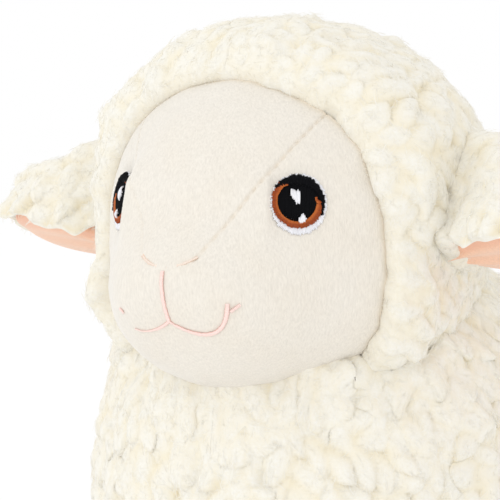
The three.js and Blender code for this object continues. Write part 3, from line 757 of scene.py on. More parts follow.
def head_reach(d):
    """Distance to the face fabric: the larger of the round head and of the muzzle, softly joined by a log of
    exponentials. Brow and cheeks are bell-shaped swellings of the round head."""
    h = sizes("head")
    yaw = np.abs(np.arctan2(d[..., 0], -d[..., 1]))
    pitch = np.arcsin(np.clip(d[..., 2], -1, 1))
    brow = bell(yaw / h.brow_half_yaw, (pitch - h.brow_pitch) / h.brow_half_pitch)
    cheek = bell((yaw - h.cheek_yaw) / h.cheek_half_yaw, (pitch - h.cheek_pitch) / h.cheek_half_pitch)
    rounded = h.radius + h.brow_height * brow + h.cheek_height * cheek
    return rounded + h.muzzle_blend * np.logaddexp(0, (muzzle_reach(d) - rounded) / h.muzzle_blend)


def nose_axes():
    """The nose's direction, and the one at right angles to it towards the brow."""
    pitch = sizes("head").nose_pitch
    return np.array([0, -np.cos(pitch), np.sin(pitch)]), np.array([0, np.sin(pitch), np.cos(pitch)])


def from_nose(away, turn):
    """Directions at an angle from the nose. turn is 0 towards the brow and a quarter to the left."""
    nose, brow = nose_axes()
    away, turn = np.broadcast_arrays(away, turn)
    side = np.sin(away) * np.sin(turn)
    d = np.cos(away)[..., None] * nose + (np.sin(away) * np.cos(turn))[..., None] * brow
    return d + side[..., None] * np.array([1.0, 0, 0])


def opening_at(turn):
    """Angle from the nose to the wool at each turn about it. The opening is a round that reaches a little
    further above than below, further still at its two upper corners and less far at its lower ones. The wool's
    edge is uneven, most of all beside the cheeks."""
    h = sizes("head")
    beside = np.abs(np.arctan2(np.sin(turn), np.cos(turn)))
    corner = h.corner_reach * bell((beside - h.corner_turn) / h.corner_half)
    lower = bell((beside - h.lower_turn) / h.lower_half)
    uneven = h.uneven * (0.4 + lower) * (0.6 * np.sin(19 * turn + 0.8) + 0.4 * np.sin(41 * turn))
    return h.opening + h.opening_lift * np.cos(turn) + corner - h.lower_reach * lower + uneven


def nose_angle(d):
    """Angle from the nose, and turn about it, of directions."""
    nose, brow = nose_axes()
    return np.arccos(np.clip(d @ nose, -1, 1)), np.arctan2(d[..., 0], d @ brow)


def wool_lift(d):
    """How far the outside of the head's wool stands out from the fabric: little at the face and at the ears."""
    h, w = sizes("head"), sizes("wool")
    away, turn = nose_angle(d)
    pitch = np.arcsin(np.clip(d[..., 2], -1, 1))
    beside_cheek = w.cheek * bell((pitch - w.cheek_pitch) / w.cheek_half)
    risen = mix(w.edge + beside_cheek, 1, smooth((away - opening_at(turn)) / w.rise))
    fuller = w.shoulders * bell((pitch - w.shoulders_pitch) / w.shoulders_half)
    flatter = w.crown * smooth((pitch - w.shoulders_pitch - w.shoulders_half) / 0.6)
    ear = np.array(sizes("ear").left_at) - head_centre()
    own_ear = unit(joined(np.sign(d[..., 0]) * ear[0], ear[1], ear[2]))
    from_ear = np.arccos(np.clip(dot(d, own_ear), -1, 1))
    dimple = 1 - w.dimple * bell(from_ear / w.dimple_angle)
    return ((w.fleece - h.plush) * dimple + fuller - flatter) * risen


def on_head(d, lift):
    """Points over the head's fabric in directions d."""
    return head_centre() + d * (head_reach(d) + lift)[..., None]


def head_outside(d):
    """Distance from the head's centre to its outside, wool included, with the step at the face made a slope."""
    away, turn = nose_angle(d)
    return head_reach(d) + wool_lift(d) * smooth((away - opening_at(turn)) / 0.25 + 0.5)


def towards(middle, across, up):
    """Directions of points that lie across and up from where a middle direction leaves the face."""
    right = unit(np.cross(UP, middle))
    above = np.cross(middle, right)
    flat = middle * head_reach(middle[None])[0] + across[..., None] * right + up[..., None] * above
    return unit(flat)


def flat_place(d):
    """Across and up on the plane that touches the nose, the other way round from towards."""
    nose, _ = nose_axes()
    right = unit(np.cross(UP, nose))
    above = np.cross(nose, right)
    far = head_reach(nose[None])[0] / np.maximum(d @ nose, 0.05)
    return (d @ right) * far, (d @ above) * far


def nose_up(across_share):
    """Height of the nose's V, from its point at 0 to the ends of its arms at -1 and 1."""
    t = sizes("thread")
    return t.nose_bottom + t.nose_rise * across_share**2


def forehead_half(up, across_share):
    """Half width of the forehead panel at a height."""
    return sizes("thread").nose_half_width + sizes("head").forehead_slope * (up - nose_up(across_share))


def seam_hollow(d):
    """How far each seam of the face draws the fabric in at directions d, and the share of painted shade there. Every
    seam has a bell-shaped hollow, deeper at each stitch, and the fabric turns in at the wool."""
    h, t = sizes("head"), sizes("thread")
    across, up = flat_place(d)
    reach = head_reach(np.array(nose_axes()[0])[None])[0]
    narrowed = reach / np.sqrt(reach**2 + across**2 + up**2)
    slope = h.forehead_slope
    from_line = np.abs(np.abs(across) - t.nose_half_width - slope * (up - nose_up(1.0))) / np.hypot(1, slope)
    above_arms = smooth((up - nose_up(1.0)) / 0.002 + 1)
    from_vee = np.where(np.abs(across) < t.nose_half_width, np.abs(up - nose_up(across / t.nose_half_width)), 1.0)
    away, turn = nose_angle(d)
    from_hem = np.maximum(opening_at(turn) - away, 0) * head_reach(d)
    stitches = 1 + 0.35 * np.cos(2 * np.pi * head_reach(d) * away / h.stitch_pitch)
    line = bell(from_line * narrowed / h.seam_width) * above_arms * stitches
    vee = bell(from_vee / h.seam_width)
    puckers = 1 + 0.25 * clouds(d, size=0.11, seed=5)
    hem = bell(from_hem / h.hem_width) * puckers
    right = smooth(across / 0.01 + 0.5)
    depth = h.seam_depth * np.maximum(line * mix(0.55, 1, right), 0.15 * vee) + h.hem_depth * hem
    # Painted shade in the seams, stronger on the seam on the sheep's left, and at the hem under the wool
    return depth, np.clip(np.maximum(line * mix(0.03, 0.2, right), hem * 0.5), 0, 1)


def relief(d):
    """How far the fabric stands out or in near the eyes and the mouth. The embroidery draws the fabric in evenly
    under the eye and less and less beyond it. Between eye and bridge it swells, as a bell that falls steeply
    towards the eye and slowly towards the bridge. The right socket is the deeper one, as hand-filled heads go.
    The mouth's middle is drawn in too, in a shallow bowl under the nose."""
    h, t = sizes("head"), sizes("thread")
    ahead = np.stack([np.abs(d[..., 0]), d[..., 1], d[..., 2]], -1)
    eye = eye_axis()
    right = unit(np.cross(UP, eye))
    facing = np.maximum(ahead @ eye, 0.3)
    far = (h.radius + h.brow_height) / facing
    across, up = (ahead @ right) * far, (ahead @ np.cross(eye, right)) * far
    inner = across + t.eye_half_width
    past = np.maximum(np.hypot(across / t.eye_half_width, up / t.eye_half_height) - 1, 0) * t.eye_half_width
    drawn = bell(past / h.socket_reach) * smooth((inner + h.socket_wall) / h.socket_wall)
    beside = inner + 1.1 * h.socket_wall
    swell = bell(beside / np.where(beside > 0, h.socket_wall, 3.5 * h.socket_wall))
    tall = np.exp(-(((up + 0.001) / h.socket_half_height) ** 4))
    side = mix(1, h.left_socket, smooth(d[..., 0] / 0.2 + 0.5))
    across, up = flat_place(d)
    from_mouth = np.hypot(across, up - t.mouth_middle + h.mouth_half / 3)
    mouth = bell(from_mouth / h.mouth_half) * smooth((t.nose_bottom - up) / 0.008)
    return (h.socket_swell * swell * tall - h.socket_depth * drawn) * side - h.mouth_depth * mouth


def eye_axis():
    """Direction of the left eye's middle."""
    t = sizes("thread")
    return heading(t.eye_yaw, t.eye_pitch)


def face_sheets(d):
    """Outside and inside of the face fabric in directions d, with the share of painted shade in each hollow."""
    depth, hollow = seam_hollow(d)
    wrinkle = 0.00025 * clouds(d, size=0.13, seed=3) + 0.00012 * clouds(d, size=0.05, seed=4)
    lift = wrinkle - depth + relief(d)
    return on_head(d, lift), on_head(d, lift - sizes("head").plush), hollow


def close_steps(count):
    """Shares from 0 to 1 that are close together near both ends."""
    return (1 - np.cos(np.linspace(0, np.pi, count))) / 2


def forehead_directions(columns, rows):
    """The forehead panel: from the V of the nose up to the wool, as wide as its two straight seams allow."""
    reach = head_reach(nose_axes()[0][None])[0]
    across_share = (2 * close_steps(columns) - 1)[None]
    low = nose_up(across_share)
    floor, ceiling = low.copy(), low + 6 * reach
    # Halving finds where each line up the panel meets the wool
    for _ in range(40):
        middle = (floor + ceiling) / 2
        across = across_share * forehead_half(middle, across_share)
        outside = np.arctan(np.hypot(across, middle) / reach) > opening_at(np.arctan2(across, middle))
        floor, ceiling = np.where(outside, floor, middle), np.where(outside, middle, ceiling)
    tilt = mix(np.arctan(low / reach), np.arctan(floor / reach), close_steps(rows)[:, None])
    up = reach * np.tan(tilt)
    return towards(nose_axes()[0], across_share * forehead_half(up, across_share), up)


def resampled(line, steps, count):
    """A line of points at even shares of its length. steps holds the distances between its points."""
    at = np.concatenate([[0], np.cumsum(steps)]) / steps.sum()
    return np.stack([np.interp(np.linspace(0, 1, count), at, part) for part in line.T], -1)


def evenly(d, count):
    """The same line of directions in even steps along the head."""
    steps = np.linalg.norm(np.diff(on_head(d, np.zeros(len(d))), axis=0), axis=1)
    return unit(resampled(d, steps, count))


def lower_face_directions(edge, columns, rows):
    """The rest of the face, from the forehead panel's edge out to the wool. edge is one side of that panel."""
    nose, _ = nose_axes()
    across_share = np.linspace(1, -1, 60)
    vee = towards(nose, across_share * sizes("thread").nose_half_width, nose_up(across_share))
    seam_columns = int(columns * 0.36)
    down = evenly(edge[::-1], seam_columns)
    along_vee = evenly(vee, columns - 2 * seam_columns + 2)[1:-1]
    back_up = down[::-1] * np.array([-1, 1, 1])
    inner = np.concatenate([down, along_vee, back_up])
    start = nose_angle(edge[-1])[1]
    turn = np.linspace(start, 2 * np.pi - start, columns)
    outer = from_nose(opening_at(turn), turn)
    return unit(mix(inner, outer, close_steps(rows)[:, None, None]))


def make_face():
    """Both panels of the face, each a slab of short-pile fabric."""
    finish = sizes("finish")
    fabric = plush_material("face_plush", finish.face, finish.face_painted_shade)
    forehead = forehead_directions(columns=128, rows=128)
    lower = lower_face_directions(forehead[:, -1], columns=300, rows=92)
    for name, d in (("face_forehead", forehead), ("face_lower", lower)):
        outer, inner, hollow = face_sheets(d)
        add_slab(name + "_plush", outer, inner, fabric, "head", "face_plush", (name,), {"hollow": hollow})


# Embroidery

# The maps of threads and fibres keep off their picture's edge, and the points round a ring lie a little apart
MAP_MARGIN = 0.02
RING_SPREAD = [0.0, 0.01, 0.02]
THREAD_SIDES = 6
FIBRE_SIDES = 3


def stitched(middle, across, up, lift):
    """Points over the relief of the face, across and up from a middle direction."""
    d = towards(middle, across, up)
    return on_head(d, lift + relief(d))


def add_threads(name, middle, lines, level, material, slot, body, replaced, mirror=False, seed=0):
    """Rows of satin stitch. lines holds each stitch's points as (across, up), and every stitch arches over
    the fabric: its height follows the fourth root of a sine and its ends dip in."""
    t = sizes("thread")
    steps = lines.shape[1]
    reach = np.linspace(0, 1, steps)
    arch = np.sin(np.pi * np.clip(reach, 0.02, 0.98)) ** 0.25
    random = np.random.default_rng(seed)
    lift = (t.lift + level * t.layer) * (1.25 * arch - 0.25) + 0.00004 * random.standard_normal((len(lines), 1))
    paths = stitched(middle, lines[..., 0], lines[..., 1], lift)
    radii = np.broadcast_to(t.radius * arch, lift.shape)
    if mirror:
        paths = paths * np.array([-1, 1, 1])
    upwards = unit(paths.mean(1, keepdims=True) - head_centre())
    points, faces, along = tubes(paths, radii, THREAD_SIDES, upwards)
    each = len(along)
    tint = random.random((len(lines), 1))
    ring = np.tile(RING_SPREAD, (each - 2) // len(RING_SPREAD))
    across_map = np.clip(tint + np.concatenate([[0], ring, [0]]), 0, 1)
    along_map = np.broadcast_to(along, across_map.shape) + 0.004 * (across_map - tint)
    uv = MAP_MARGIN + 0.95 * np.stack([np.clip(along_map, 0, 1), across_map], -1).reshape(-1, 2)
    return add_piece(name, points, faces, material, body, slot, replaced, uv=uv)


def radial_stitches(inner, outer, steps=7):
    """Stitches from an inner to an outer line, both given as points at the same turns."""
    return mix(inner[:, None], outer[:, None], np.linspace(0, 1, steps)[:, None])


def oval(turns, half_width, half_height, across=0.0, up=0.0):
    """Points of an oval at each turn."""
    return np.stack([across + half_width * np.cos(turns), up + half_height * np.sin(turns)], -1)


def upright_stitches(outline, pitch, ragged, seed, steps=9):
    """Upright stitches that fill an outline of points, which start at its right and go over its top."""
    random = np.random.default_rng(seed)
    x = np.arange(outline[:, 0].min() + pitch / 2, outline[:, 0].max(), pitch)
    left = outline[:, 0].argmin()
    over, under = outline[: left + 1][::-1], outline[left:]
    top = np.interp(x, over[:, 0], over[:, 1])
    bottom = np.interp(x, under[:, 0], under[:, 1])
    top, bottom = top + ragged * random.uniform(-0.5, 1, len(x)), bottom - ragged * random.uniform(-0.5, 1, len(x))
    y = mix(bottom[:, None], top[:, None], np.linspace(0, 1, steps))
    lean = 0.12 * pitch * random.standard_normal((len(x), 1)) * np.linspace(-1, 1, steps)
    return np.stack([x[:, None] + lean, y], -1)


# Corners of the highlights, in millimetres across and up from the eye's middle
UPPER_GLINT = [
    (0.45, 2.2), (0.0, 3.2), (-2.05, 3.2), (-2.2, 1.6), (-2.0, 1.0), (-1.2, 0.2), (-1.05, -0.1), (-0.8, -1.05),
    (0.25, -1.1), (0.3, -0.3), (0.42, 0.9),
]
LOWER_GLINT = [
    (1.9, -4.9), (1.6, -3.9), (1.1, -3.3), (0.6, -3.8), (-0.1, -4.9), (-0.1, -5.4), (0.7, -6.3), (1.5, -5.8),
]
# Turns in degrees, and there the width in millimetres of the black line over the eye
LID = [
    (-30, 0.05), (-22, 0.7), (-8, 1.5), (10, 1.9), (30, 2.4), (60, 3.3), (90, 3.4), (120, 2.9), (135, 2.0), (149, 0.9),
]


def closed_outline(table, count=64):
    """A table of corners in millimetres as a closed line with that many points, started at its right."""
    corners = np.array(table) * MM
    start = corners[:, 0].argmax()
    ring = np.roll(corners, -start, 0)
    ring = np.concatenate([ring, ring[:1]])
    steps = np.linalg.norm(np.diff(ring, axis=0), axis=1)
    return resampled(ring, steps, count)


def eye_stitches():
    """Every row of stitches of the left eye: name, colour, level and lines. The left eye's outer side is +."""
    t = sizes("thread")
    random = np.random.default_rng(11)
    wide, high, pitch = t.eye_half_width, t.eye_half_height, t.pitch

    def ragged(count):
        return t.ragged * random.uniform(-1, 1, count)[:, None]

    def around(low, high_turn):
        count = int(np.radians(high_turn - low) * wide / pitch)
        return np.radians(np.linspace(low, high_turn, count))

    full = around(0, 360)
    out, edge = oval(full, 1, 1), oval(full, wide, high)
    rim_width = t.rim_width + t.rim_below * np.maximum(0, -np.sin(full)) ** 1.5 + 0.0006 * np.maximum(0, np.cos(full))
    rim = radial_stitches(edge - out * MM, edge + out * (rim_width[:, None] + ragged(len(full))))
    iris_from, iris_to = -240, 12
    part = around(iris_from, iris_to)
    turns = np.degrees(part)
    pupil = oval(part, t.pupil_half_width, t.pupil_half_height, -t.pupil_across, -0.0002)
    end = smooth((turns - iris_from) / 12)[:, None] * smooth((iris_to - turns) / 18)[:, None]
    iris_out = mix(pupil, oval(part, wide, high), end) + oval(part, 1, 1) * ragged(len(part))
    iris = radial_stitches(pupil - oval(part, 1, 1) * 0.0004, iris_out)
    lid_turns = around(LID[0][0], LID[-1][0])
    lid_width = np.interp(np.degrees(lid_turns), *np.array(LID).T)[:, None] * MM
    lid_out = oval(lid_turns, 1, 1)
    lid_edge = oval(lid_turns, wide, high) + lid_out * 0.0001
    lid = radial_stitches(lid_edge - lid_out * lid_width, lid_edge + lid_out * ragged(len(lid_turns)))
    disc = oval(np.linspace(0, 2 * np.pi, 160), wide - 0.0006, high - 0.0006)
    disc_stitches = upright_stitches(disc, pitch, ragged=0.0, seed=12)
    return [
        ("white", "white", 0, rim),
        ("pupil", "black", 1, disc_stitches),
        ("iris", "brown", 1.8, iris),
        ("lid", "black", 2.2, lid),
        ("upper_glint", "white", 3, upright_stitches(closed_outline(UPPER_GLINT), pitch, t.ragged, seed=13)),
        ("lower_glint", "white", 3, upright_stitches(closed_outline(LOWER_GLINT), pitch, t.ragged, seed=14)),
    ]


def thread_materials():
    """The materials of the threads in the eyes."""
    finish = sizes("finish")
    return {
        "white": thread_material("white_thread", finish.white, finish.white),
        "black": thread_material("black_thread", finish.black, finish.black, roughness=0.5, specular=0.08),
        "brown": thread_material("brown_thread", finish.brown, finish.brown_light),
    }


def make_eyes():
    """Embroiders both eyes. The right one is the left one's mirror image."""
    threads = thread_materials()
    for side, mirror in (("left", False), ("right", True)):
        for number, (part, thread, level, lines) in enumerate(eye_stitches()):
            node = f"{side}_eye_{part}"
            replaced = () if part == "lid" else (node,)
            look, slot = threads[thread], thread + "_thread"
            add_threads(
                node + "_stitches", eye_axis(), lines, level, look, slot, "head", replaced, mirror, seed=20 + number
            )


def stitches_along(line, width, ragged, seed, steps=6):
    """Short stitches across a line of points, side by side along it. width is one number or one at each point."""
    t = sizes("thread")
    random = np.random.default_rng(seed)
    lengths = np.linalg.norm(np.diff(line, axis=0), axis=1)
    at = np.concatenate([[0], np.cumsum(lengths)])
    count = max(3, int(at[-1] / t.pitch))
    even = np.linspace(0, at[-1], count)
    middle = np.stack([np.interp(even, at, line[:, i]) for i in (0, 1)], -1)
    way = unit(np.gradient(middle, axis=0))
    across = np.stack([-way[:, 1], way[:, 0]], -1)
    wide = np.interp(even, at, np.broadcast_to(width, len(line)))
    half = (wide / 2 + ragged * random.uniform(-1, 1, count))[:, None]
    return mix((middle - across * half)[:, None], (middle + across * half)[:, None], np.linspace(0, 1, steps)[:, None])


def curve(corners, s):
    """Points of a cubic curve with four corners, at shares s of the way."""
    a, b, c, d = corners
    return (1 - s) ** 3 * a + 3 * s * (1 - s) ** 2 * b + 3 * s**2 * (1 - s) * c + s**3 * d


def make_nose_and_mouth():
    """Embroiders the nose's V, the line under it and the smile, whose right half fades out."""
    t = sizes("thread")
    finish = sizes("finish")
    pink = thread_material("pink_thread", finish.pink, finish.pink_end, roughness=0.7, specular=0.2, both_ends=True)
    pale = thread_material(
        "pale_pink_thread", finish.pink_pale, finish.pink_pale_end, roughness=0.8, specular=0.2, both_ends=True
    )
    nose, _ = nose_axes()
    across = np.linspace(-1, 1, 60)
    vee = np.stack([across * t.nose_half_width, nose_up(across)], -1)
    lines = stitches_along(vee, t.nose_width, ragged=0.0001, seed=31)
    place_across = np.linspace(-1, 1, len(lines))[:, None]
    # The V lies deep in the fabric and comes up at one place of each arm
    level = -2.5 + 1.7 * bell((place_across - 0.72) / 0.3) + 1.2 * bell((place_across + 0.6) / 0.3)
    add_threads("nose_stitches", nose, lines, level, pale, "pink_thread", "head", ("nose_stitching",), seed=32)
    top = t.nose_bottom - (t.nose_width + t.lip_width) / 2
    lip = np.stack([np.zeros(20), np.linspace(top, t.mouth_middle, 20)], -1)
    rows = [stitches_along(lip, t.lip_width, ragged=0.0001, seed=33)]
    s = np.linspace(0, 1, 60)[:, None]
    for side in (1, -1):
        # Corners of the curve: across in half widths of the mouth, and up in metres from its middle
        ends = [(0, 0), (0.2, -0.88 * t.mouth_dip), (0.92, -2.25 * t.mouth_dip), (1, t.corner_rise)]
        corners = np.array([(side * x * t.mouth_half_width, t.mouth_middle + y) for x, y in ends])
        smile = curve(corners, s)
        if side > 0:
            width, ragged = mix(0.6, 1.1, smooth(2 * s[:, 0])), 0.0001
            moved, reach = (0.0008, -0.0022), 0.8
        else:
            smile = smile[:38]
            width, ragged = mix(0.75, 0.05, smooth((s[:38, 0] - 0.15) / 0.5)), 0.00005
            moved, reach = (0.0018, -0.0038), 0.45
        rows.append(stitches_along(smile, t.lip_width * width, ragged, seed=34 + side))
        # A short stitch of its own ends each half
        start = corners[3] + np.array(moved)
        cap = mix(start, start + np.array([side * 2, 1]) * t.corner_half * reach, s)
        rows.append(stitches_along(cap, t.lip_width * 0.8, ragged=0.00005, seed=37 + side))
    rows = np.concatenate(rows)
    add_threads("mouth_stitches", nose, rows, -0.3, pink, "pink_thread", "head", ("mouth_stitching",), seed=40)


# Wool

# How locks are spread: points for each lock, the area of a lock as a share of its distance squared, how often
# the locks settle, and how far they look for points, in distances between locks
SAMPLES_PER_LOCK = 16
LOCK_AREA = 0.87
SETTLING_ROUNDS = 4
SETTLING_REACH = 1.6
# How far a lock can reach, in half lengths
LOCK_REACH = 1.2
# Sizes in metres of the wavering of locks, of tufts and of clumps
WISP_SIZE = 0.0045
TUFT_SIZE = 0.0026
CLUMP_SIZE = 0.0085


def make_locks(patches, seed):
    """The locks of wool on some sheets together. Their middles are points spread over the sheets, each moved
    to the middle of the points nearest to it until they lie evenly. Each lock lies along the comb there, more
    or less, and has its own length, width and height."""
    w = sizes("wool")
    samples, normals, combs, heights = [], [], [], []
    for number, (sheet, normal, comb, height) in enumerate(patches):
        even = np.ones(sheet.shape[:2])
        count = int(SAMPLES_PER_LOCK * weighted_areas(sheet, even).sum() / (LOCK_AREA * w.lock**2))
        found = scatter(sheet, (normal, comb, height), count, even, seed + number)
        for gathered, part in zip((samples, normals, combs, heights), found):
            gathered.append(part)
    samples, normals, combs, heights = (np.concatenate(part) for part in (samples, normals, combs, heights))
    random = np.random.default_rng(seed)
    count = len(samples) // SAMPLES_PER_LOCK
    centres = samples[random.permutation(len(samples))[:count]]
    for _ in range(SETTLING_ROUNDS):
        which = nearest_of(samples, centres, SETTLING_REACH * w.lock)
        found = np.bincount(which, minlength=count)
        centres = np.stack([np.bincount(which, samples[:, i], count) / np.maximum(found, 1) for i in range(3)], -1)
        centres = centres[found > 0]
        count = len(centres)
    at = nearest_of(centres, samples, w.lock)
    normal = unit(normals[at])
    way = flattened(combs[at] + w.stray * random.standard_normal((count, 3)), normal)

    def vary(low, high):
        return random.uniform(low, high, count)

    return {
        "middle": samples[at],
        "way": way,
        "side": np.cross(normal, way),
        "half_length": w.lock_half_length * vary(0.6, 1.25),
        "half_width": w.lock_half_width * vary(0.75, 1.35),
        "height": heights[at] * vary(0.5, 1.3),
        "bend": w.bend * vary(-1, 1),
    }


def lumped(sheet, normals, locks, fade, closed=False):
    """Raises the locks on a sheet. A lock is half an ellipsoid, lower at its root than at its tip, where it
    also leans out along its way. Where locks meet, the highest wins, softly: each counts by the eighth power
    of its height there. Locks are bent a little, their outlines waver, and finer ridges and tufts lie on them.
    Returns the raised sheet, its normals, the share by which each point is a crest, which sets how much painted shade
    the wool gets, and the way that the wool lies there."""
    w = sizes("wool")
    points = sheet.reshape(-1, 3)
    total = np.full(len(points), 1e-30)
    rise, first, second = np.zeros((3, len(points)))
    out = np.zeros((len(points), 3))
    way = np.zeros((len(points), 3))
    strayed = points + w.wisp * np.stack([clouds(points, size=WISP_SIZE, seed=180 + i) for i in range(3)], -1)
    for column in within_reach(points, locks["middle"], LOCK_REACH * w.lock_half_length):
        here = np.flatnonzero(column >= 0)
        lock = column[here]
        offset = strayed[here] - locks["middle"][lock]
        u = dot(offset, locks["way"][lock]) / locks["half_length"][lock]
        v = dot(offset, locks["side"][lock]) / locks["half_width"][lock] - locks["bend"][lock] * u * u
        inside = 1 - u * u - v * v
        good = inside > 0
        here, lock, u, v, inside = here[good], lock[good], u[good], v[good], inside[good]
        height = locks["height"][lock] * np.sqrt(inside) * (0.6 + 0.4 * smooth(0.5 + 0.6 * u))
        ridge = clouds(np.stack([u * 1.1, v * 2.4, lock * 7.3], -1), size=1.0, seed=7)
        height = height * (1 + 0.07 * ridge)
        counted = (height / w.lump) ** 8 + 1e-12
        total[here] += counted
        rise[here] += counted * height
        tip = smooth(0.5 + 0.5 * u)
        out[here] += (counted * height * tip * w.overhang)[:, None] * locks["way"][lock]
        splayed = locks["way"][lock] + (0.55 * v)[:, None] * locks["side"][lock]
        way[here] += counted[:, None] * splayed
        height = height / locks["height"][lock]
        second[here] = np.maximum(second[here], np.minimum(first[here], height))
        first[here] = np.maximum(first[here], height)
    shape = sheet.shape[:2]
    fade = fade.reshape(-1)
    raised = points + (rise / total * fade)[:, None] * normals.reshape(-1, 3) + out / total[:, None] * fade[:, None]
    tufts = w.tuft * clouds(points, size=TUFT_SIZE, seed=184) + w.clump * clouds(points, size=CLUMP_SIZE, seed=185)
    raised += (tufts * fade)[:, None] * normals.reshape(-1, 3)
    raised = raised.reshape(sheet.shape)
    # How much each point is a crest; the wool gets painted shade where it is not
    crest = smooth((first - 0.3) / 0.65) * mix(0.7, 1, smooth(0.3 + 3.0 * (first - second)))
    found = sheet_normals(raised, closed)
    found = np.where((dot(found, normals) < 0)[..., None], -found, found)
    return raised, unit(found + 0.4 * normals), crest.reshape(shape), way.reshape(sheet.shape)


def fibre_paths(roots, normals, ways, crest, seed, longer=1.0):
    """Fine fibres that lie along the locks. Each leaves its lock at a small slope, arches back towards it
    and bends to one side. Returns the paths, radii, sides and tints."""
    w = sizes("wool")
    count = len(roots)
    random = np.random.default_rng(seed)
    way = flattened(ways + 0.28 * random.standard_normal((count, 3)), normals)
    side = np.cross(normals, way)
    long = (w.fibre_length * longer * random.uniform(0.6, 1.25, count) * (0.6 + 0.4 * crest))[:, None]
    s = np.array([0, 0.34, 0.7, 1.0])
    slope = w.lift * random.uniform(0.4, 1.5, count)[:, None]
    up = long * (slope * s - (w.drop + 0.4 * slope) * s**2)
    bend = long * w.curl * random.standard_normal((count, 1)) * (s**2 - 0.25 * s)
    paths = roots[:, None]
    for part, direction in ((long * s, way), (up, normals), (bend, side)):
        paths = paths + part[..., None] * direction[:, None]
    paths[:, 0] -= 0.0003 * normals
    thick = w.fibre * random.uniform(0.8, 1.3, (count, 1)) * np.array([0, 1.0, 0.8, 0])
    # Fibres in the hollows get a tint towards the painted shade
    tint = np.clip(0.9 - 0.7 * crest + 0.06 * random.standard_normal(count), 0, 1)
    return paths, thick, side, tint


def add_fibres(name, fibres, chosen, material, body, replaced):
    """The chosen fibres as one piece, with a map that holds the share along each and its tint."""
    paths, thick, side, tint = (part[chosen] for part in fibres)
    points, faces, along = tubes(paths, thick, FIBRE_SIDES, side[:, None])
    ring = np.tile(RING_SPREAD, (len(along) - 2) // len(RING_SPREAD))
    tint_map = tint[:, None] + np.concatenate([[0.0], ring, [0.0]])
    along_map = along + 0.3 * (tint_map - tint[:, None])
    shares = np.stack([np.broadcast_to(along_map, tint_map.shape), tint_map], -1)
    uv = MAP_MARGIN + 0.93 * np.clip(shares, 0, 1).reshape(-1, 2)
    return add_piece(name, points, faces, material, body, "wool", replaced, uv=uv, rounded=False)


def coat_of(sheet, normals, locks, wooled, seed, closed=False, density=1.0, longer=1.0):
    """The raised undercoat of a sheet, its crests, its fibres and their roots. wooled is 1 where wool grows, and
    density and longer change the number and length of the fibres."""
    under, at_under, crest, ways = lumped(sheet, normals, locks, wooled, closed)
    grown = wooled * (0.45 + 0.55 * crest)
    count = int(weighted_areas(under, wooled).sum() / MM**2 * sizes("wool").fibres * density)
    roots, at_normals, at_ways, at_crest = scatter(under, (at_under, ways, crest), count, grown, seed)
    return under, crest * wooled, fibre_paths(roots, unit(at_normals), at_ways, at_crest, seed + 1, longer), roots


def hood_comb(sheet, normals):
    """Wool of the head lies away from the face, and downwards as well on the sides and back."""
    d = unit(sheet - head_centre())
    away, turn = nose_angle(d)
    nose, _ = nose_axes()
    back = smooth((away - opening_at(turn)) / 0.8)
    down = np.maximum(back * smooth((away - 0.9) / 1.2), 0.75 * np.sin(turn) ** 2)[..., None]
    return combed(sheet, normals, -nose - down * UP, stray=0.3, seed=51)


def combed(sheet, normals, way, stray, seed):
    """The way that wool lies on a sheet: along the one given, which strays from place to place."""
    return flattened(np.broadcast_to(way, sheet.shape) + stray * wander(sheet, seed), normals)


def wander(points, seed):
    """A direction that changes slowly from place to place."""
    return np.stack([clouds(points, size=0.022, seed=seed + i) for i in range(3)], -1)


def hood_patch(side):
    """Half of the hood: its directions, base sheet, normals, comb and the height of its locks."""
    h, w = sizes("head"), sizes("wool")
    columns, rows = 210, 150
    turn = (np.linspace(0, np.pi, columns) if side == "left" else np.linspace(-np.pi, 0, columns))[None]
    opening = opening_at(turn)
    away = mix(opening, np.pi, np.linspace(0, 1, rows)[:, None] ** 1.1)
    d = from_nose(away, turn)
    pile = wool_lift(d)
    height = w.hood_share * w.lump * np.clip(pile / (w.fleece - h.plush), 0.68, 1)
    from_face = (away - opening) * h.radius / w.shoulder
    rounded = np.sqrt(1 - (1 - np.clip(from_face, 0.02, 1)) ** 2)
    sheet = on_head(d, (pile - w.sunk * height) * rounded)
    normals = turned_outwards(sheet_normals(sheet), sheet, head_centre())
    normals[:, [0, -1]] = unit(normals[:, [0, -1]] * (0, 1, 1))
    return d, sheet, normals, hood_comb(sheet, normals), height


def make_hood():
    """The wool of the head, in a left and a right half whose locks are laid out together."""
    h = sizes("head")
    fibre_look, under_look = fibre_material(), undercoat_material()
    patches = {side: hood_patch(side) for side in ("left", "right")}
    locks = make_locks([patch[1:] for patch in patches.values()], seed=60)
    for number, (side, (d, sheet, normals, _, _)) in enumerate(patches.items()):
        under, crest, fibres, roots = coat_of(sheet, normals, locks, np.ones(sheet.shape[:2]), seed=64 + 3 * number)
        away, turn = nose_angle(d)
        # Near the face the wool counts as more of a crest, so it gets less painted shade there
        crest = np.maximum(crest, 0.6 * np.exp(-(away - opening_at(turn)) / 0.12))
        inner = on_head(d, np.full(d.shape[:2], -h.plush))
        node = "hood_" + side
        add_slab(node + "_undercoat", under, inner, under_look, "head", "wool", (node,), {"crest": crest})
        front = roots[:, 1] < h.centre[1] + 0.012
        add_fibres(node + "_front_wool", fibres, front, fibre_look, "head", (node,))
        add_fibres(node + "_back_wool", fibres, ~front, fibre_look, "head", (node,))


# The body


def body_point(d, inset):
    """A point of the body in a direction: a superellipsoid, widened towards the rump."""
    b = sizes("body")
    halves = np.array(b.halves) - inset
    p = d * ((np.abs(d / halves) ** b.fullness).sum(-1) ** (-1 / b.fullness))[..., None]
    p[..., 0] *= 1 + b.rump * p[..., 1] / b.halves[1]
    return p + np.array(b.centre)


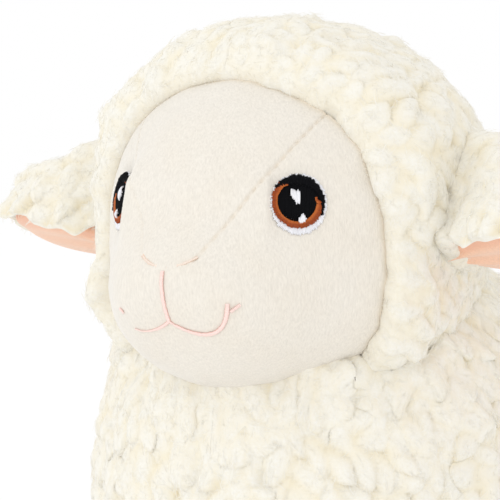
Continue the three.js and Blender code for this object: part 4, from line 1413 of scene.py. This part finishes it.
def out_of_head(p, gap):
    """Points inside the head's seat are pushed out of it, straight away from the head's centre. The seat fits
    the head at rest, and its wool gives way when the head turns."""
    centre = head_centre()
    v = p - centre
    far = np.linalg.norm(v, axis=-1, keepdims=True)
    d = v / far
    reach = (head_outside(d) + gap)[..., None]
    return np.where(far < reach, centre + d * reach, p)


def out_of_legs(p, gap):
    """Points under a leg are lifted over its rounded root."""
    leg = sizes("leg")
    for name in LEGS:
        at = np.array(JOINT_AT[name + "_leg_swing"])
        radius = leg.root_radius + gap
        off = (p[..., 0] - at[0]) ** 2 + ((p[..., 1] - at[1]) / 1.12) ** 2
        over = at[2] + np.sqrt(np.maximum(radius**2 - off, 0))
        under_leg = (off < radius**2) & (p[..., 2] < over)
        p = np.concatenate([p[..., :2], np.where(under_leg, over, p[..., 2])[..., None]], -1)
    return p


def out_of_tail(p, gap):
    """Points at the tail are pushed in over its rounded root."""
    at = np.array(sizes("tail").root_at)
    radius = sizes("tail").root_radius + gap
    off = p[..., 0] ** 2 + (p[..., 2] - at[2]) ** 2
    ahead = at[1] - np.sqrt(np.maximum(radius**2 - off, 0))
    behind = (off < radius**2) & (p[..., 1] > ahead)
    return np.concatenate([p[..., :1], np.where(behind, ahead, p[..., 1])[..., None], p[..., 2:]], -1)


def seated(p, gap):
    """Points of the body kept clear of head, legs and tail."""
    return out_of_tail(out_of_legs(out_of_head(p, gap), gap), gap)


def body_comb(sheet, normals):
    """Wool of the body lies away from the head near it, and otherwise down and a little back."""
    centre = head_centre()
    level = sheet - centre
    gap = np.linalg.norm(level, axis=-1) - head_outside(unit(level))
    near = np.exp(-np.maximum(gap, 0) / 0.03)[..., None]
    level = unit(level * np.array([1, 1, 0.0]))
    down = np.array([0, 0.35, -1.0])
    return combed(sheet, normals, mix(down, 1.2 * level - 0.35 * UP, near), stray=0.45, seed=54)


def body_patch(side):
    """Half of the body's wool: its base sheet, normals, comb and lock heights, and where wool grows."""
    b, w = sizes("body"), sizes("wool")
    head = head_centre()
    sign = 1 if side == "left" else -1
    columns, rows = 481, 140
    turn = full_turn(columns)
    polar = (np.linspace(0, 1, rows)[:, None] ** 0.9) * np.pi / 2
    d = joined(sign * np.cos(polar), np.sin(polar) * np.cos(turn), np.sin(polar) * np.sin(turn))
    free = body_point(d, w.sunk * w.lump)
    normals = turned_outwards(sheet_normals(free, True), free, np.array(b.centre))
    from_head = free - head
    gap = np.linalg.norm(from_head, axis=-1) - head_outside(unit(from_head))
    free = free + (b.collar * np.exp(-np.maximum(gap, 0) / b.collar_reach))[..., None] * normals
    # Under the head the wool is pressed flatter and reaches a little into the head's
    seat_gap = w.sunk * 0.6 * w.lump - 0.0030
    in_head = np.linalg.norm(out_of_head(free, seat_gap) - free, axis=-1)
    sheet = out_of_tail(out_of_legs(out_of_head(free, seat_gap), 0.0), -0.002)
    moved = np.linalg.norm(sheet - free, axis=-1)
    normals = turned_outwards(sheet_normals(free, True), free, np.array(b.centre))
    normals[-1] = unit(normals[-1] * (0, 1, 1))
    towards_head = smooth(in_head / 0.005)[..., None]
    normals = unit(mix(normals, unit(head - sheet), towards_head))
    # No wool grows deep under the head, at the roots of legs and tail or over the belly panel
    wooled = np.where(in_head > 1e-5, smooth((0.024 - in_head) / 0.006), smooth((0.0015 - moved) / 0.001))
    wooled = wooled * np.where(sheet[..., 2] < b.centre[2], smooth((oval_share(sheet) - 1) / 0.15), 1)
    height = w.lump * mix(1, 0.6, towards_head[..., 0])
    return d, sheet, normals, body_comb(sheet, normals), height, wooled


def make_body_wool():
    """The wool of the body, in a left and a right half whose locks are laid out together."""
    b, w = sizes("body"), sizes("wool")
    fibre_look, under_look = fibre_material(), undercoat_material()
    patches = {side: body_patch(side) for side in ("left", "right")}
    locks = make_locks([patch[1:5] for patch in patches.values()], seed=80)
    for number, (side, (d, sheet, normals, _, _, wooled)) in enumerate(patches.items()):
        under, crest, fibres, roots = coat_of(sheet, normals, locks, wooled, seed=84 + 3 * number, closed=True)
        rows = np.linspace(0, len(d) - 1, 16).astype(int)
        inner = seated(body_point(d[rows], w.fleece), w.fleece * 0.6)
        node = "body_fleece_" + side
        add_slab(
            node + "_undercoat", under, inner, under_look, "torso", "wool", (node,), {"crest": crest}, closed=True
        )
        sector = np.arctan2(roots[:, 2] - b.centre[2], roots[:, 1])
        quarter = np.digitize(sector, [-np.pi / 2, 0, np.pi / 2])
        for part, label in enumerate(("lower_front", "lower_rear", "upper_rear", "upper_front")):
            add_fibres(f"{node}_{label}_wool", fibres, quarter == part, fibre_look, "torso", (node,))


def oval_share(p):
    """How far out a point lies in the belly panel's oval: 0 in its middle, 1 at its seam."""
    b = sizes("body")
    return np.hypot(p[..., 0] / b.belly_half_width, p[..., 1] / b.belly_half_length)


def under_body(x, y, inset):
    """The point of the body's underside at x and y, by walking towards it from straight below the middle."""
    b = sizes("body")
    d = joined(x, y, -b.halves[2])
    for _ in range(30):
        off = joined(x, y, 0.0) - body_point(unit(d), inset) * (1, 1, 0)
        d = unit(d) * b.halves[2] + off
    return body_point(unit(d), inset)


def make_belly():
    """The panel between the legs: an oval of short wool, rounded off at its seam."""
    b, w = sizes("body"), sizes("wool")
    out, turn = np.linspace(0, 1, 40)[:, None] ** 0.8, full_turn(121)
    x, y = b.belly_half_width * out * np.cos(turn), b.belly_half_length * out * np.sin(turn)
    lump = w.lump * 0.45
    rounded = np.sqrt(1 - np.clip((out - 0.8) / 0.2, 0, 1) ** 2) + 0.0 * turn
    sheet = under_body(x, y, w.sunk * lump) + (0.0025 * (1 - rounded))[..., None] * UP
    normals = turned_outwards(sheet_normals(sheet, True), sheet, np.array(b.centre))
    comb = combed(sheet, normals, (0, 1.0, 0), stray=0.4, seed=63)
    height = np.full(sheet.shape[:2], lump)
    locks = make_locks([(sheet, normals, comb, height)], seed=160)
    under, crest, fibres, _ = coat_of(sheet, normals, locks, rounded, seed=164, closed=True)
    inner = under_body(x * 0.98, y * 0.98, w.fleece)
    node, look = ("belly_panel",), undercoat_material()
    add_slab("belly_panel_undercoat", under, inner, look, "torso", "wool", node, {"crest": crest}, closed=True)
    add_fibres("belly_panel_wool", fibres, slice(None), fibre_material(), "torso", node)


# Ears


def ear_half_width(along_share):
    """Half width of an ear's leaf along its length."""
    e = sizes("ear")
    past = np.maximum(0, along_share - e.widest) / (1 - e.widest)
    wide = mix(e.root_half_width, e.half_width, smooth(along_share / e.widest))
    return wide * np.sqrt(np.maximum(0, 1 - past**2.7))


def ear_placed(points, side):
    """From the ear's own frame, where it points to +X and its wool is on top, to its place on the head."""
    e = sizes("ear")
    x, y, z = points[..., 0], points[..., 1], points[..., 2]
    x, z = x * np.cos(e.lift) - z * np.sin(e.lift), x * np.sin(e.lift) + z * np.cos(e.lift)
    y, z = y * np.cos(e.tilt) + z * np.sin(e.tilt), z * np.cos(e.tilt) - y * np.sin(e.tilt)
    return (np.stack([x, y, z], -1) + np.array(e.left_at)) * (side, 1, 1)


def ear_sheet(rows, columns, inset, lowered):
    """Top of the ear's wool: a dome over the leaf that closes at its tip, swells to a puff over its root, runs
    into the head's wool there and hangs down as an uneven skirt over the leaf's front edge. Also the sheet
    under it."""
    e = sizes("ear")
    along = mix(-e.buried, e.reach - inset, close_steps(rows)[:, None])
    across = np.sin(np.linspace(-np.pi / 2, np.pi / 2, columns))[None]
    along_share = np.clip(along / (e.reach - inset), 0, 1)
    closing = np.sqrt(np.maximum(0, 1 - (np.minimum(along, 0) / e.buried) ** 2))
    half = np.maximum(0, ear_half_width(along_share) - inset) * closing
    rise = np.maximum(0, mix(e.puff_height, e.wool_height, smooth(along_share / e.wool_full)) - lowered) * closing
    dome = rise * np.sqrt(np.maximum(0, 1 - along_share**10)) * np.sqrt(np.maximum(0, 1 - across**4))
    front = smooth((-across - 0.8) / 0.2)
    waves = 1 + 0.45 * clouds(joined(along, across * 0.01, 0.0), size=0.0042, seed=59)
    rim = front * smooth(along / 0.008) * smooth((1 - along_share) / 0.15) * waves
    height = dome - e.skirt * rim
    wide = across * (half + 0.0008 * rim)
    top = joined(along, wide, height)
    bottom = joined(along * 0.99, wide * 0.96, np.minimum(height, 0) - 0.0003 - 0.0008 * rim)
    return top, bottom


def make_ears():
    """Both ears: a leaf of wool, its rolled root and the lining."""
    e, w, finish = sizes("ear"), sizes("wool"), sizes("finish")
    fibre_look, under_look = fibre_material(), undercoat_material()
    lining_look = plush_material("ear_plush", finish.ear, finish.ear_painted_shade)
    lump = w.lump * 0.85
    for side, sign in (("left", 1), ("right", -1)):
        body, node = side + "_ear", side + "_ear_wool"
        seed = 120 if sign > 0 else 130
        top, bottom = ear_sheet(rows=110, columns=72, inset=0.0022, lowered=w.sunk * lump)
        outer, inner = ear_placed(top, sign), ear_placed(bottom, sign)
        normals = turned_outwards(sheet_normals(outer), outer, inner.mean((0, 1)))
        down = np.array([sign * 1.0, -0.3, -0.8])
        comb = combed(outer, normals, down, stray=0.35, seed=57)
        height = np.broadcast_to(lump * (0.6 + 0.4 * smooth(top[..., 0] / 0.012)), outer.shape[:2])
        pod = ear_root(sign)
        pod_normals = turned_outwards(sheet_normals(pod, True), pod, ear_placed(np.zeros(3), sign))
        pod_comb = combed(pod, pod_normals, down, stray=0.35, seed=57)
        pod_height = np.full(pod.shape[:2], lump * 0.35)
        locks = make_locks([(outer, normals, comb, height), (pod, pod_normals, pod_comb, pod_height)], seed)
        half = np.maximum(ear_half_width(np.maximum(top[..., 0], 0) / e.reach), 0.004)
        behind = smooth((1.0 - top[..., 1] / half) / 0.08)
        under, crest, fibres, _ = coat_of(outer, normals, locks, behind, seed + 2, density=1.2, longer=0.85)
        add_slab(body + "_undercoat", under, inner, under_look, body, "wool", (node,), {"crest": crest})
        add_fibres(body + "_wool_fibres", fibres, slice(None), fibre_look, body, (node,))
        even = np.ones(pod.shape[:2])
        under, crest, fibres, _ = coat_of(pod, pod_normals, locks, even, seed + 5, closed=True, density=1.2)
        core = mix(pod, ear_placed(np.zeros(3), sign), 0.8)
        add_slab(body + "_root", under, core, under_look, body, "wool", (node,), {"crest": crest}, closed=True)
        add_fibres(body + "_root_fibres", fibres, slice(None), fibre_look, body, (node,))
        make_lining(side, sign, lining_look)


def ear_root(sign):
    """The rolled root of an ear: a barrel about the line that the ear turns on."""
    e, w = sizes("ear"), sizes("wool")
    radius = e.root_radius - 1.2 * w.sunk * w.lump
    out = np.sin(np.linspace(-np.pi / 2, np.pi / 2, 44))[:, None]
    turn = full_turn(61)
    round_off = radius * np.sqrt(np.maximum(0, 1 - out**6))
    points = joined(round_off * np.cos(turn), out * (e.root_half_width - 0.001), round_off * np.sin(turn))
    return ear_placed(points, sign)


def make_lining(side, sign, look):
    """The lining: a shallow cupped leaf, thicker in its middle, that narrows to a point at the ear's root. Soft
    folds run out from the root."""
    e = sizes("ear")
    rows, columns = 72, 48
    end = e.reach - e.lining_tip_inset
    along = mix(e.lining_start, end, close_steps(rows)[:, None])
    across = np.sin(np.linspace(-np.pi / 2, np.pi / 2, columns))[None]
    along_share = along / end
    half = np.maximum(0.0002, ear_half_width(np.minimum(along_share, 0.999)) - e.lining_inset)
    half = half * np.sqrt(smooth((along - e.lining_start) / e.lining_taper))
    puff = np.sqrt(np.maximum(0, 1 - across**4)) * np.sqrt(np.maximum(0, 1 - along_share**10))
    fold = 0.0005 * np.cos(3 * np.pi * across) * (1 - along_share) * puff
    low = -0.0006 - e.lining * puff * (0.85 + 0.15 * across**2) + fold
    top = np.minimum(-0.0006, low + 0.0015)
    place_across = mix(0.0012, 0, along_share) + across * (half - 0.0012)
    flat = joined(along, place_across, top)
    under = joined(along, place_across, low)
    folds = 0.3 * np.cos(3 * np.pi * across) * (1 - along_share)
    # Painted shade: darker towards the front edge under the wool, in the folds and towards the lining's rim
    hollow = np.clip(0.5 - 0.5 * puff + folds + 0.6 * smooth((0.1 - across) / 0.9) - 0.2, 0, 1)
    body = side + "_ear"
    outer, inner = ear_placed(under, sign), ear_placed(flat, sign)
    add_slab(body + "_lining_plush", outer, inner, look, body, "ear_plush", (body + "_lining",), {"hollow": hollow})


# Tail


def tail_radius(out):
    """Radius of the tail over its wool, along its length."""
    t = sizes("tail")
    share_out = np.clip((out - t.neck) / (t.reach - t.neck), 0, 1)
    swell = mix(t.root_radius, t.middle_radius, smooth(2 * share_out))
    past = np.maximum(0, 2 * share_out - 1)
    root = np.sqrt(np.clip(1 - (np.minimum(out, 0) / t.root_radius) ** 2, 0, 1))
    return swell * np.sqrt(np.maximum(0, 1 - past**2)) * root


def make_tail():
    """The tail: a stub of wool that sits in the rump."""
    t, w = sizes("tail"), sizes("wool")
    fibre_look, under_look = fibre_material(), undercoat_material()
    at = np.array(t.root_at)
    lump = w.lump * 0.7
    sunk = w.sunk * lump
    out = mix(-t.root_radius, t.reach - sunk, close_steps(76)[:, None])
    turn = full_turn(91)
    scaled = np.where(out > 0, out * t.reach / (t.reach - sunk), out)
    radius = np.maximum(0, tail_radius(scaled) - sunk * smooth((out - 0.001) / 0.006))
    ring = joined(np.cos(turn), 0.0 * turn, np.sin(turn))
    along = np.array([0, 1.0, 0])
    sheet = at + ring * radius[..., None] + out[..., None] * along
    inner = at + ring * (radius * 0.55)[..., None] + mix(out, 0.01, 0.25)[..., None] * along
    normals = turned_outwards(sheet_normals(sheet, True), sheet, at + 0.01 * along)
    comb = combed(sheet, normals, (0, 1.0, -0.3), stray=0.3, seed=58)
    wooled = np.broadcast_to(smooth((out - 0.002) / 0.003), sheet.shape[:2])
    height = np.full(sheet.shape[:2], lump)
    locks = make_locks([(sheet, normals, comb, height)], seed=140)
    under, crest, fibres, _ = coat_of(sheet, normals, locks, wooled, seed=144, closed=True, density=1.3)
    nodes = ("tail_top", "tail_underside")
    add_slab("tail_undercoat", under, inner, under_look, "tail", "wool", nodes, {"crest": crest}, closed=True)
    add_fibres("tail_wool", fibres, slice(None), fibre_look, "tail", nodes)


# Legs


def turned(at, ring, radius, height):
    """Points of a round form about the upright line through a point."""
    return at + ring * radius[..., None] + height[..., None] * UP


def leg_profile(count, inset):
    """Radii and heights of a leg's skin from the floor to the top of its root, as a smooth line."""
    leg = sizes("leg")
    rounded = 0.0016
    ankle = mix(leg.foot_height, leg.waist_height, 0.45), mix(leg.foot_radius, leg.waist_radius, 0.42)
    thigh = mix(leg.waist_height, leg.pivot_height, 0.6), mix(leg.waist_radius, leg.root_radius, 0.62)
    heights_and_radii = [
        (0.0, leg.sole_radius - rounded),
        (rounded * 0.3, leg.sole_radius - rounded * 0.25),
        (rounded, leg.sole_radius + 0.0003),
        (leg.foot_height, leg.foot_radius),
        ankle,
        (leg.waist_height, leg.waist_radius),
        thigh,
        (leg.pivot_height, leg.root_radius),
    ]
    steps = np.linspace(0, 1, int(count * 0.7)) ** 1.25 * leg.pivot_height
    wall = np.interp(steps, *np.array(heights_and_radii).T)
    kernel = np.array([1, 2, 3, 2, 1]) / 9
    wall[4:-2] = np.convolve(np.pad(wall, 2, mode="edge"), kernel, "valid")[4:-2]
    arc = np.linspace(0, np.pi / 2, count - len(steps) + 1)[1:]
    radius = np.concatenate([wall, leg.root_radius * np.cos(arc)]) - inset
    height = np.concatenate([steps, leg.pivot_height + (leg.root_radius - inset) * np.sin(arc)])
    return np.maximum(radius, 0), height


def make_legs():
    """Four legs of short-pile fabric with a seam along the back, and their soles."""
    leg, h, finish = sizes("leg"), sizes("head"), sizes("finish")
    look = plush_material("leg_plush", finish.face, finish.face_painted_shade)
    turn = full_turn(97)
    for number, name in enumerate(LEGS):
        at = np.array(JOINT_AT[name + "_leg_swing"]) * (1, 1, 0)
        radius, height = (part[:, None] for part in leg_profile(84, inset=0.0))
        inner_radius, inner_height = (part[:, None] for part in leg_profile(84, inset=h.plush))
        from_back = np.abs(turn - np.pi / 2) * leg.waist_radius
        seam = bell(from_back / 0.0009)
        ring = ring_of(turn)
        base = turned(at, ring, radius, height)
        folds = 0.0005 * clouds(base * (1, 1, 2.2), 0.016, 150 + number) + 0.0002 * clouds(base, 0.006, 160 + number)
        above_floor = smooth(height / 0.004)
        dip = (folds - 0.0005 * seam * (1 + 0.3 * np.cos(2 * np.pi * height / h.stitch_pitch))) * above_floor
        outer = base + ring * dip[..., None]
        inner = turned(at, ring, inner_radius, inner_height)
        # Painted shade: along the seam at the back and near the floor
        hollow = np.clip(0.4 * seam + 0.6 * bell(height / 0.0015), 0, 1) * np.ones_like(dip)
        body, node = name + "_leg", (name + "_leg_sleeve",)
        add_slab(body + "_plush", outer, inner, look, body, "face_plush", node, {"hollow": hollow}, closed=True)
        make_sole(name, at, look, body)


def make_sole(name, at, look, body):
    """The sole: a flat round of fabric whose edge is rounded in to the seam around it."""
    leg, h = sizes("leg"), sizes("head")
    radius = leg.sole_radius - h.plush - 0.0003
    turn = full_turn(73)
    out = np.linspace(0, 1, 26)[:, None]
    ring = ring_of(turn)
    edge = np.sqrt(np.maximum(0, 1 - np.clip((out - 0.88) / 0.12, 0, 1) ** 2))
    low = 0.0012 * (1 - edge) + 0.0 * turn
    high = leg.sole_thickness + 0.0 * (out + turn)
    under, over = turned(at, ring, radius * out, low), turned(at, ring, radius * out, high)
    # Painted shade towards the sole's rounded edge
    hollow = np.broadcast_to(np.clip((out - 0.86) / 0.14, 0, 1), low.shape)
    add_slab(
        name + "_sole_plush", under, over, look, body, "face_plush", (name + "_sole",), {"hollow": hollow}, closed=True
    )


# Filling


def ball(rows, columns):
    """Directions all round, from the bottom to the top."""
    down = np.linspace(0, np.pi, rows)[:, None]
    turn = full_turn(columns)
    return joined(np.sin(down) * np.cos(turn), np.sin(down) * np.sin(turn), -np.cos(down))


def add_filling(name, sheet, look, body):
    """Wadding in the form of a closed sheet of points."""
    index = np.arange(sheet.shape[0] * sheet.shape[1]).reshape(sheet.shape[:2])
    points, faces = sheet.reshape(-1, 3), quads_of(index)
    piece = add_piece(name + "_wadding", points, faces, look, body, "fibrefill", (name,), weld=True)


def make_filling():
    """The wadding of head, body and legs."""
    h, w, leg = sizes("head"), sizes("wool"), sizes("leg")
    look = filling_material()
    d = ball(rows=60, columns=80)
    tufted = 0.0008 * clouds(d, size=0.2, seed=171)
    add_filling("head_stuffing", on_head(d, tufted + relief(d) - h.plush - 0.002), look, "head")
    body = seated(body_point(d, w.fleece + 0.0025), w.fleece * 0.6 + 0.002)
    add_filling("body_stuffing", body + d * tufted[..., None], look, "torso")
    turn = full_turn(49)
    ring = ring_of(turn)
    for name in LEGS:
        at = np.array(JOINT_AT[name + "_leg_swing"]) * (1, 1, 0)
        radius, height = leg_profile(50, inset=h.plush + 0.0012)
        height = np.maximum(height, leg.sole_thickness + 0.0004)
        radius = np.concatenate([[0], radius, [0]])[:, None]
        height = np.concatenate([height[:1], height, height[-1:]])[:, None]
        add_filling(name + "_leg_stuffing", turned(at, ring, radius, height), look, name + "_leg")


# Studio


def make_studio():
    """The camera, two lamps, the floor and an even white surrounding."""
    s, finish = sizes("studio"), sizes("finish")
    scene = bpy.context.scene
    head = head_centre()
    away = heading(s.azimuth, s.elevation)
    right = np.array([np.cos(s.azimuth), np.sin(s.azimuth), 0])
    above = np.cross(away, right)
    camera = bpy.data.objects.new("camera", bpy.data.cameras.new("camera"))
    film = 36
    camera.data.sensor_width = film
    camera.data.lens = film * s.focal
    camera.location = Vector(head + away * s.distance)
    look = -away * s.focal - right * s.head_right - above * s.head_up
    camera.rotation_mode = "QUATERNION"
    camera.rotation_quaternion = Vector(look).to_track_quat("-Z", "Y")
    camera.data.clip_start, camera.data.clip_end = 0.01, 20
    scene.collection.objects.link(camera)
    scene.camera = camera
    # Name, place, width in metres, watts and colour
    lamps = (
        ("key", (-0.75, -0.9, 0.95), 0.9, s.key, finish.key_light),
        ("fill", (0.15, -1.3, 0.26), 0.5, s.fill, finish.fill_light),
    )
    for name, at, size, watts, light in lamps:
        lamp = bpy.data.objects.new(name, bpy.data.lights.new(name, "AREA"))
        lamp.data.color = light
        lamp.data.size = size
        lamp.data.energy = watts
        lamp.location = at
        lamp.rotation_mode = "QUATERNION"
        lamp.rotation_quaternion = (Vector(head) - Vector(at)).to_track_quat("-Z", "Y")
        scene.collection.objects.link(lamp)
    half = 4.0
    corners = [(-half, -half, 0.0), (half, -half, 0.0), (half, half, 0.0), (-half, half, 0.0)]
    mesh = bpy.data.meshes.new("floor")
    mesh.from_pydata(corners, [], [(0, 1, 2, 3)])
    floor = bpy.data.objects.new("floor", mesh)
    floor_look = Mixer("studio_floor", roughness=0.8, sheen=0.0)
    grain = floor_look.noise(floor_look.object_place(), size=0.004)
    tint = floor_look.blended(floor_look.spread(grain, 0, 1), finish.floor, shade(finish.floor, 0.99))
    mesh.materials.append(floor_look.paint(tint))
    scene.collection.objects.link(floor)
    world = bpy.data.worlds.new("studio")
    world.use_nodes = True
    scene.world = world
    tree = world.node_tree
    background = next(n for n in tree.nodes if n.type == "BACKGROUND")
    seen = tree.nodes.new("ShaderNodeLightPath")
    strength = tree.nodes.new("ShaderNodeMapRange")
    strength.inputs["To Min"].default_value = s.sky
    strength.inputs["To Max"].default_value = 1.0
    tree.links.new(seen.outputs["Is Camera Ray"], strength.inputs["Value"])
    tree.links.new(strength.outputs["Result"], background.inputs["Strength"])
    background.inputs["Color"].default_value = (1, 1, 1, 1)
    scene.view_settings.view_transform = "Standard"


class Maker:
    """What every operator of this file shares."""

    bl_options = {"REGISTER", "UNDO"}

    def execute(self, context):
        type(self).make()
        return {"FINISHED"}


class SHEEP_OT_studio(Maker, bpy.types.Operator):
    """Makes the floor, the light and the camera"""

    bl_idname = "sheep.studio"
    bl_label = "Studio"
    make = staticmethod(make_studio)


class SHEEP_OT_filling(Maker, bpy.types.Operator):
    """Makes the wadding of the head, body and legs"""

    bl_idname = "sheep.filling"
    bl_label = "Filling"
    make = staticmethod(make_filling)


class SHEEP_OT_face(Maker, bpy.types.Operator):
    """Makes the forehead panel and the rest of the face"""

    bl_idname = "sheep.face"
    bl_label = "Face"
    make = staticmethod(make_face)


class SHEEP_OT_eyes(Maker, bpy.types.Operator):
    """Embroiders both eyes"""

    bl_idname = "sheep.eyes"
    bl_label = "Eyes"
    make = staticmethod(make_eyes)


class SHEEP_OT_nose_and_mouth(Maker, bpy.types.Operator):
    """Embroiders the nose and the mouth"""

    bl_idname = "sheep.nose_and_mouth"
    bl_label = "Nose and Mouth"
    make = staticmethod(make_nose_and_mouth)


class SHEEP_OT_hood(Maker, bpy.types.Operator):
    """Makes the wool hood of the head"""

    bl_idname = "sheep.hood"
    bl_label = "Hood"
    make = staticmethod(make_hood)


class SHEEP_OT_body_wool(Maker, bpy.types.Operator):
    """Makes the wool of the body"""

    bl_idname = "sheep.body_wool"
    bl_label = "Body Wool"
    make = staticmethod(make_body_wool)


class SHEEP_OT_belly(Maker, bpy.types.Operator):
    """Makes the wool panel between the legs"""

    bl_idname = "sheep.belly"
    bl_label = "Belly"
    make = staticmethod(make_belly)


class SHEEP_OT_ears(Maker, bpy.types.Operator):
    """Makes both ears with their lining"""

    bl_idname = "sheep.ears"
    bl_label = "Ears"
    make = staticmethod(make_ears)


class SHEEP_OT_tail(Maker, bpy.types.Operator):
    """Makes the tail"""

    bl_idname = "sheep.tail"
    bl_label = "Tail"
    make = staticmethod(make_tail)


class SHEEP_OT_legs(Maker, bpy.types.Operator):
    """Makes the four legs and their soles"""

    bl_idname = "sheep.legs"
    bl_label = "Legs"
    make = staticmethod(make_legs)


OPERATORS = [
    SHEEP_OT_studio,
    SHEEP_OT_filling,
    SHEEP_OT_face,
    SHEEP_OT_eyes,
    SHEEP_OT_nose_and_mouth,
    SHEEP_OT_hood,
    SHEEP_OT_body_wool,
    SHEEP_OT_belly,
    SHEEP_OT_ears,
    SHEEP_OT_tail,
    SHEEP_OT_legs,
]


class SHEEP_PT_panel(bpy.types.Panel):
    """Lists the steps that make the sheep"""

    bl_label = "Plush Sheep"
    bl_idname = "SHEEP_PT_panel"
    bl_space_type = "VIEW_3D"
    bl_region_type = "UI"
    bl_category = "Sheep"

    def draw(self, context):
        for operator in OPERATORS:
            self.layout.operator(operator.bl_idname)


def register():
    for group in GROUPS.values():
        bpy.utils.register_class(group)
    for name, group in GROUPS.items():
        setattr(bpy.types.Scene, name, bpy.props.PointerProperty(type=group))
    for item in (*OPERATORS, SHEEP_PT_panel):
        bpy.utils.register_class(item)


def unregister():
    for item in (SHEEP_PT_panel, *reversed(OPERATORS)):
        bpy.utils.unregister_class(item)
    for name in GROUPS:
        delattr(bpy.types.Scene, name)
    for group in reversed(list(GROUPS.values())):
        bpy.utils.unregister_class(group)


def main():
    register()
    for operator in OPERATORS:
        category, name = operator.bl_idname.split(".")
        getattr(getattr(bpy.ops, category), name)()
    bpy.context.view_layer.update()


if __name__ == "__main__":
    main()
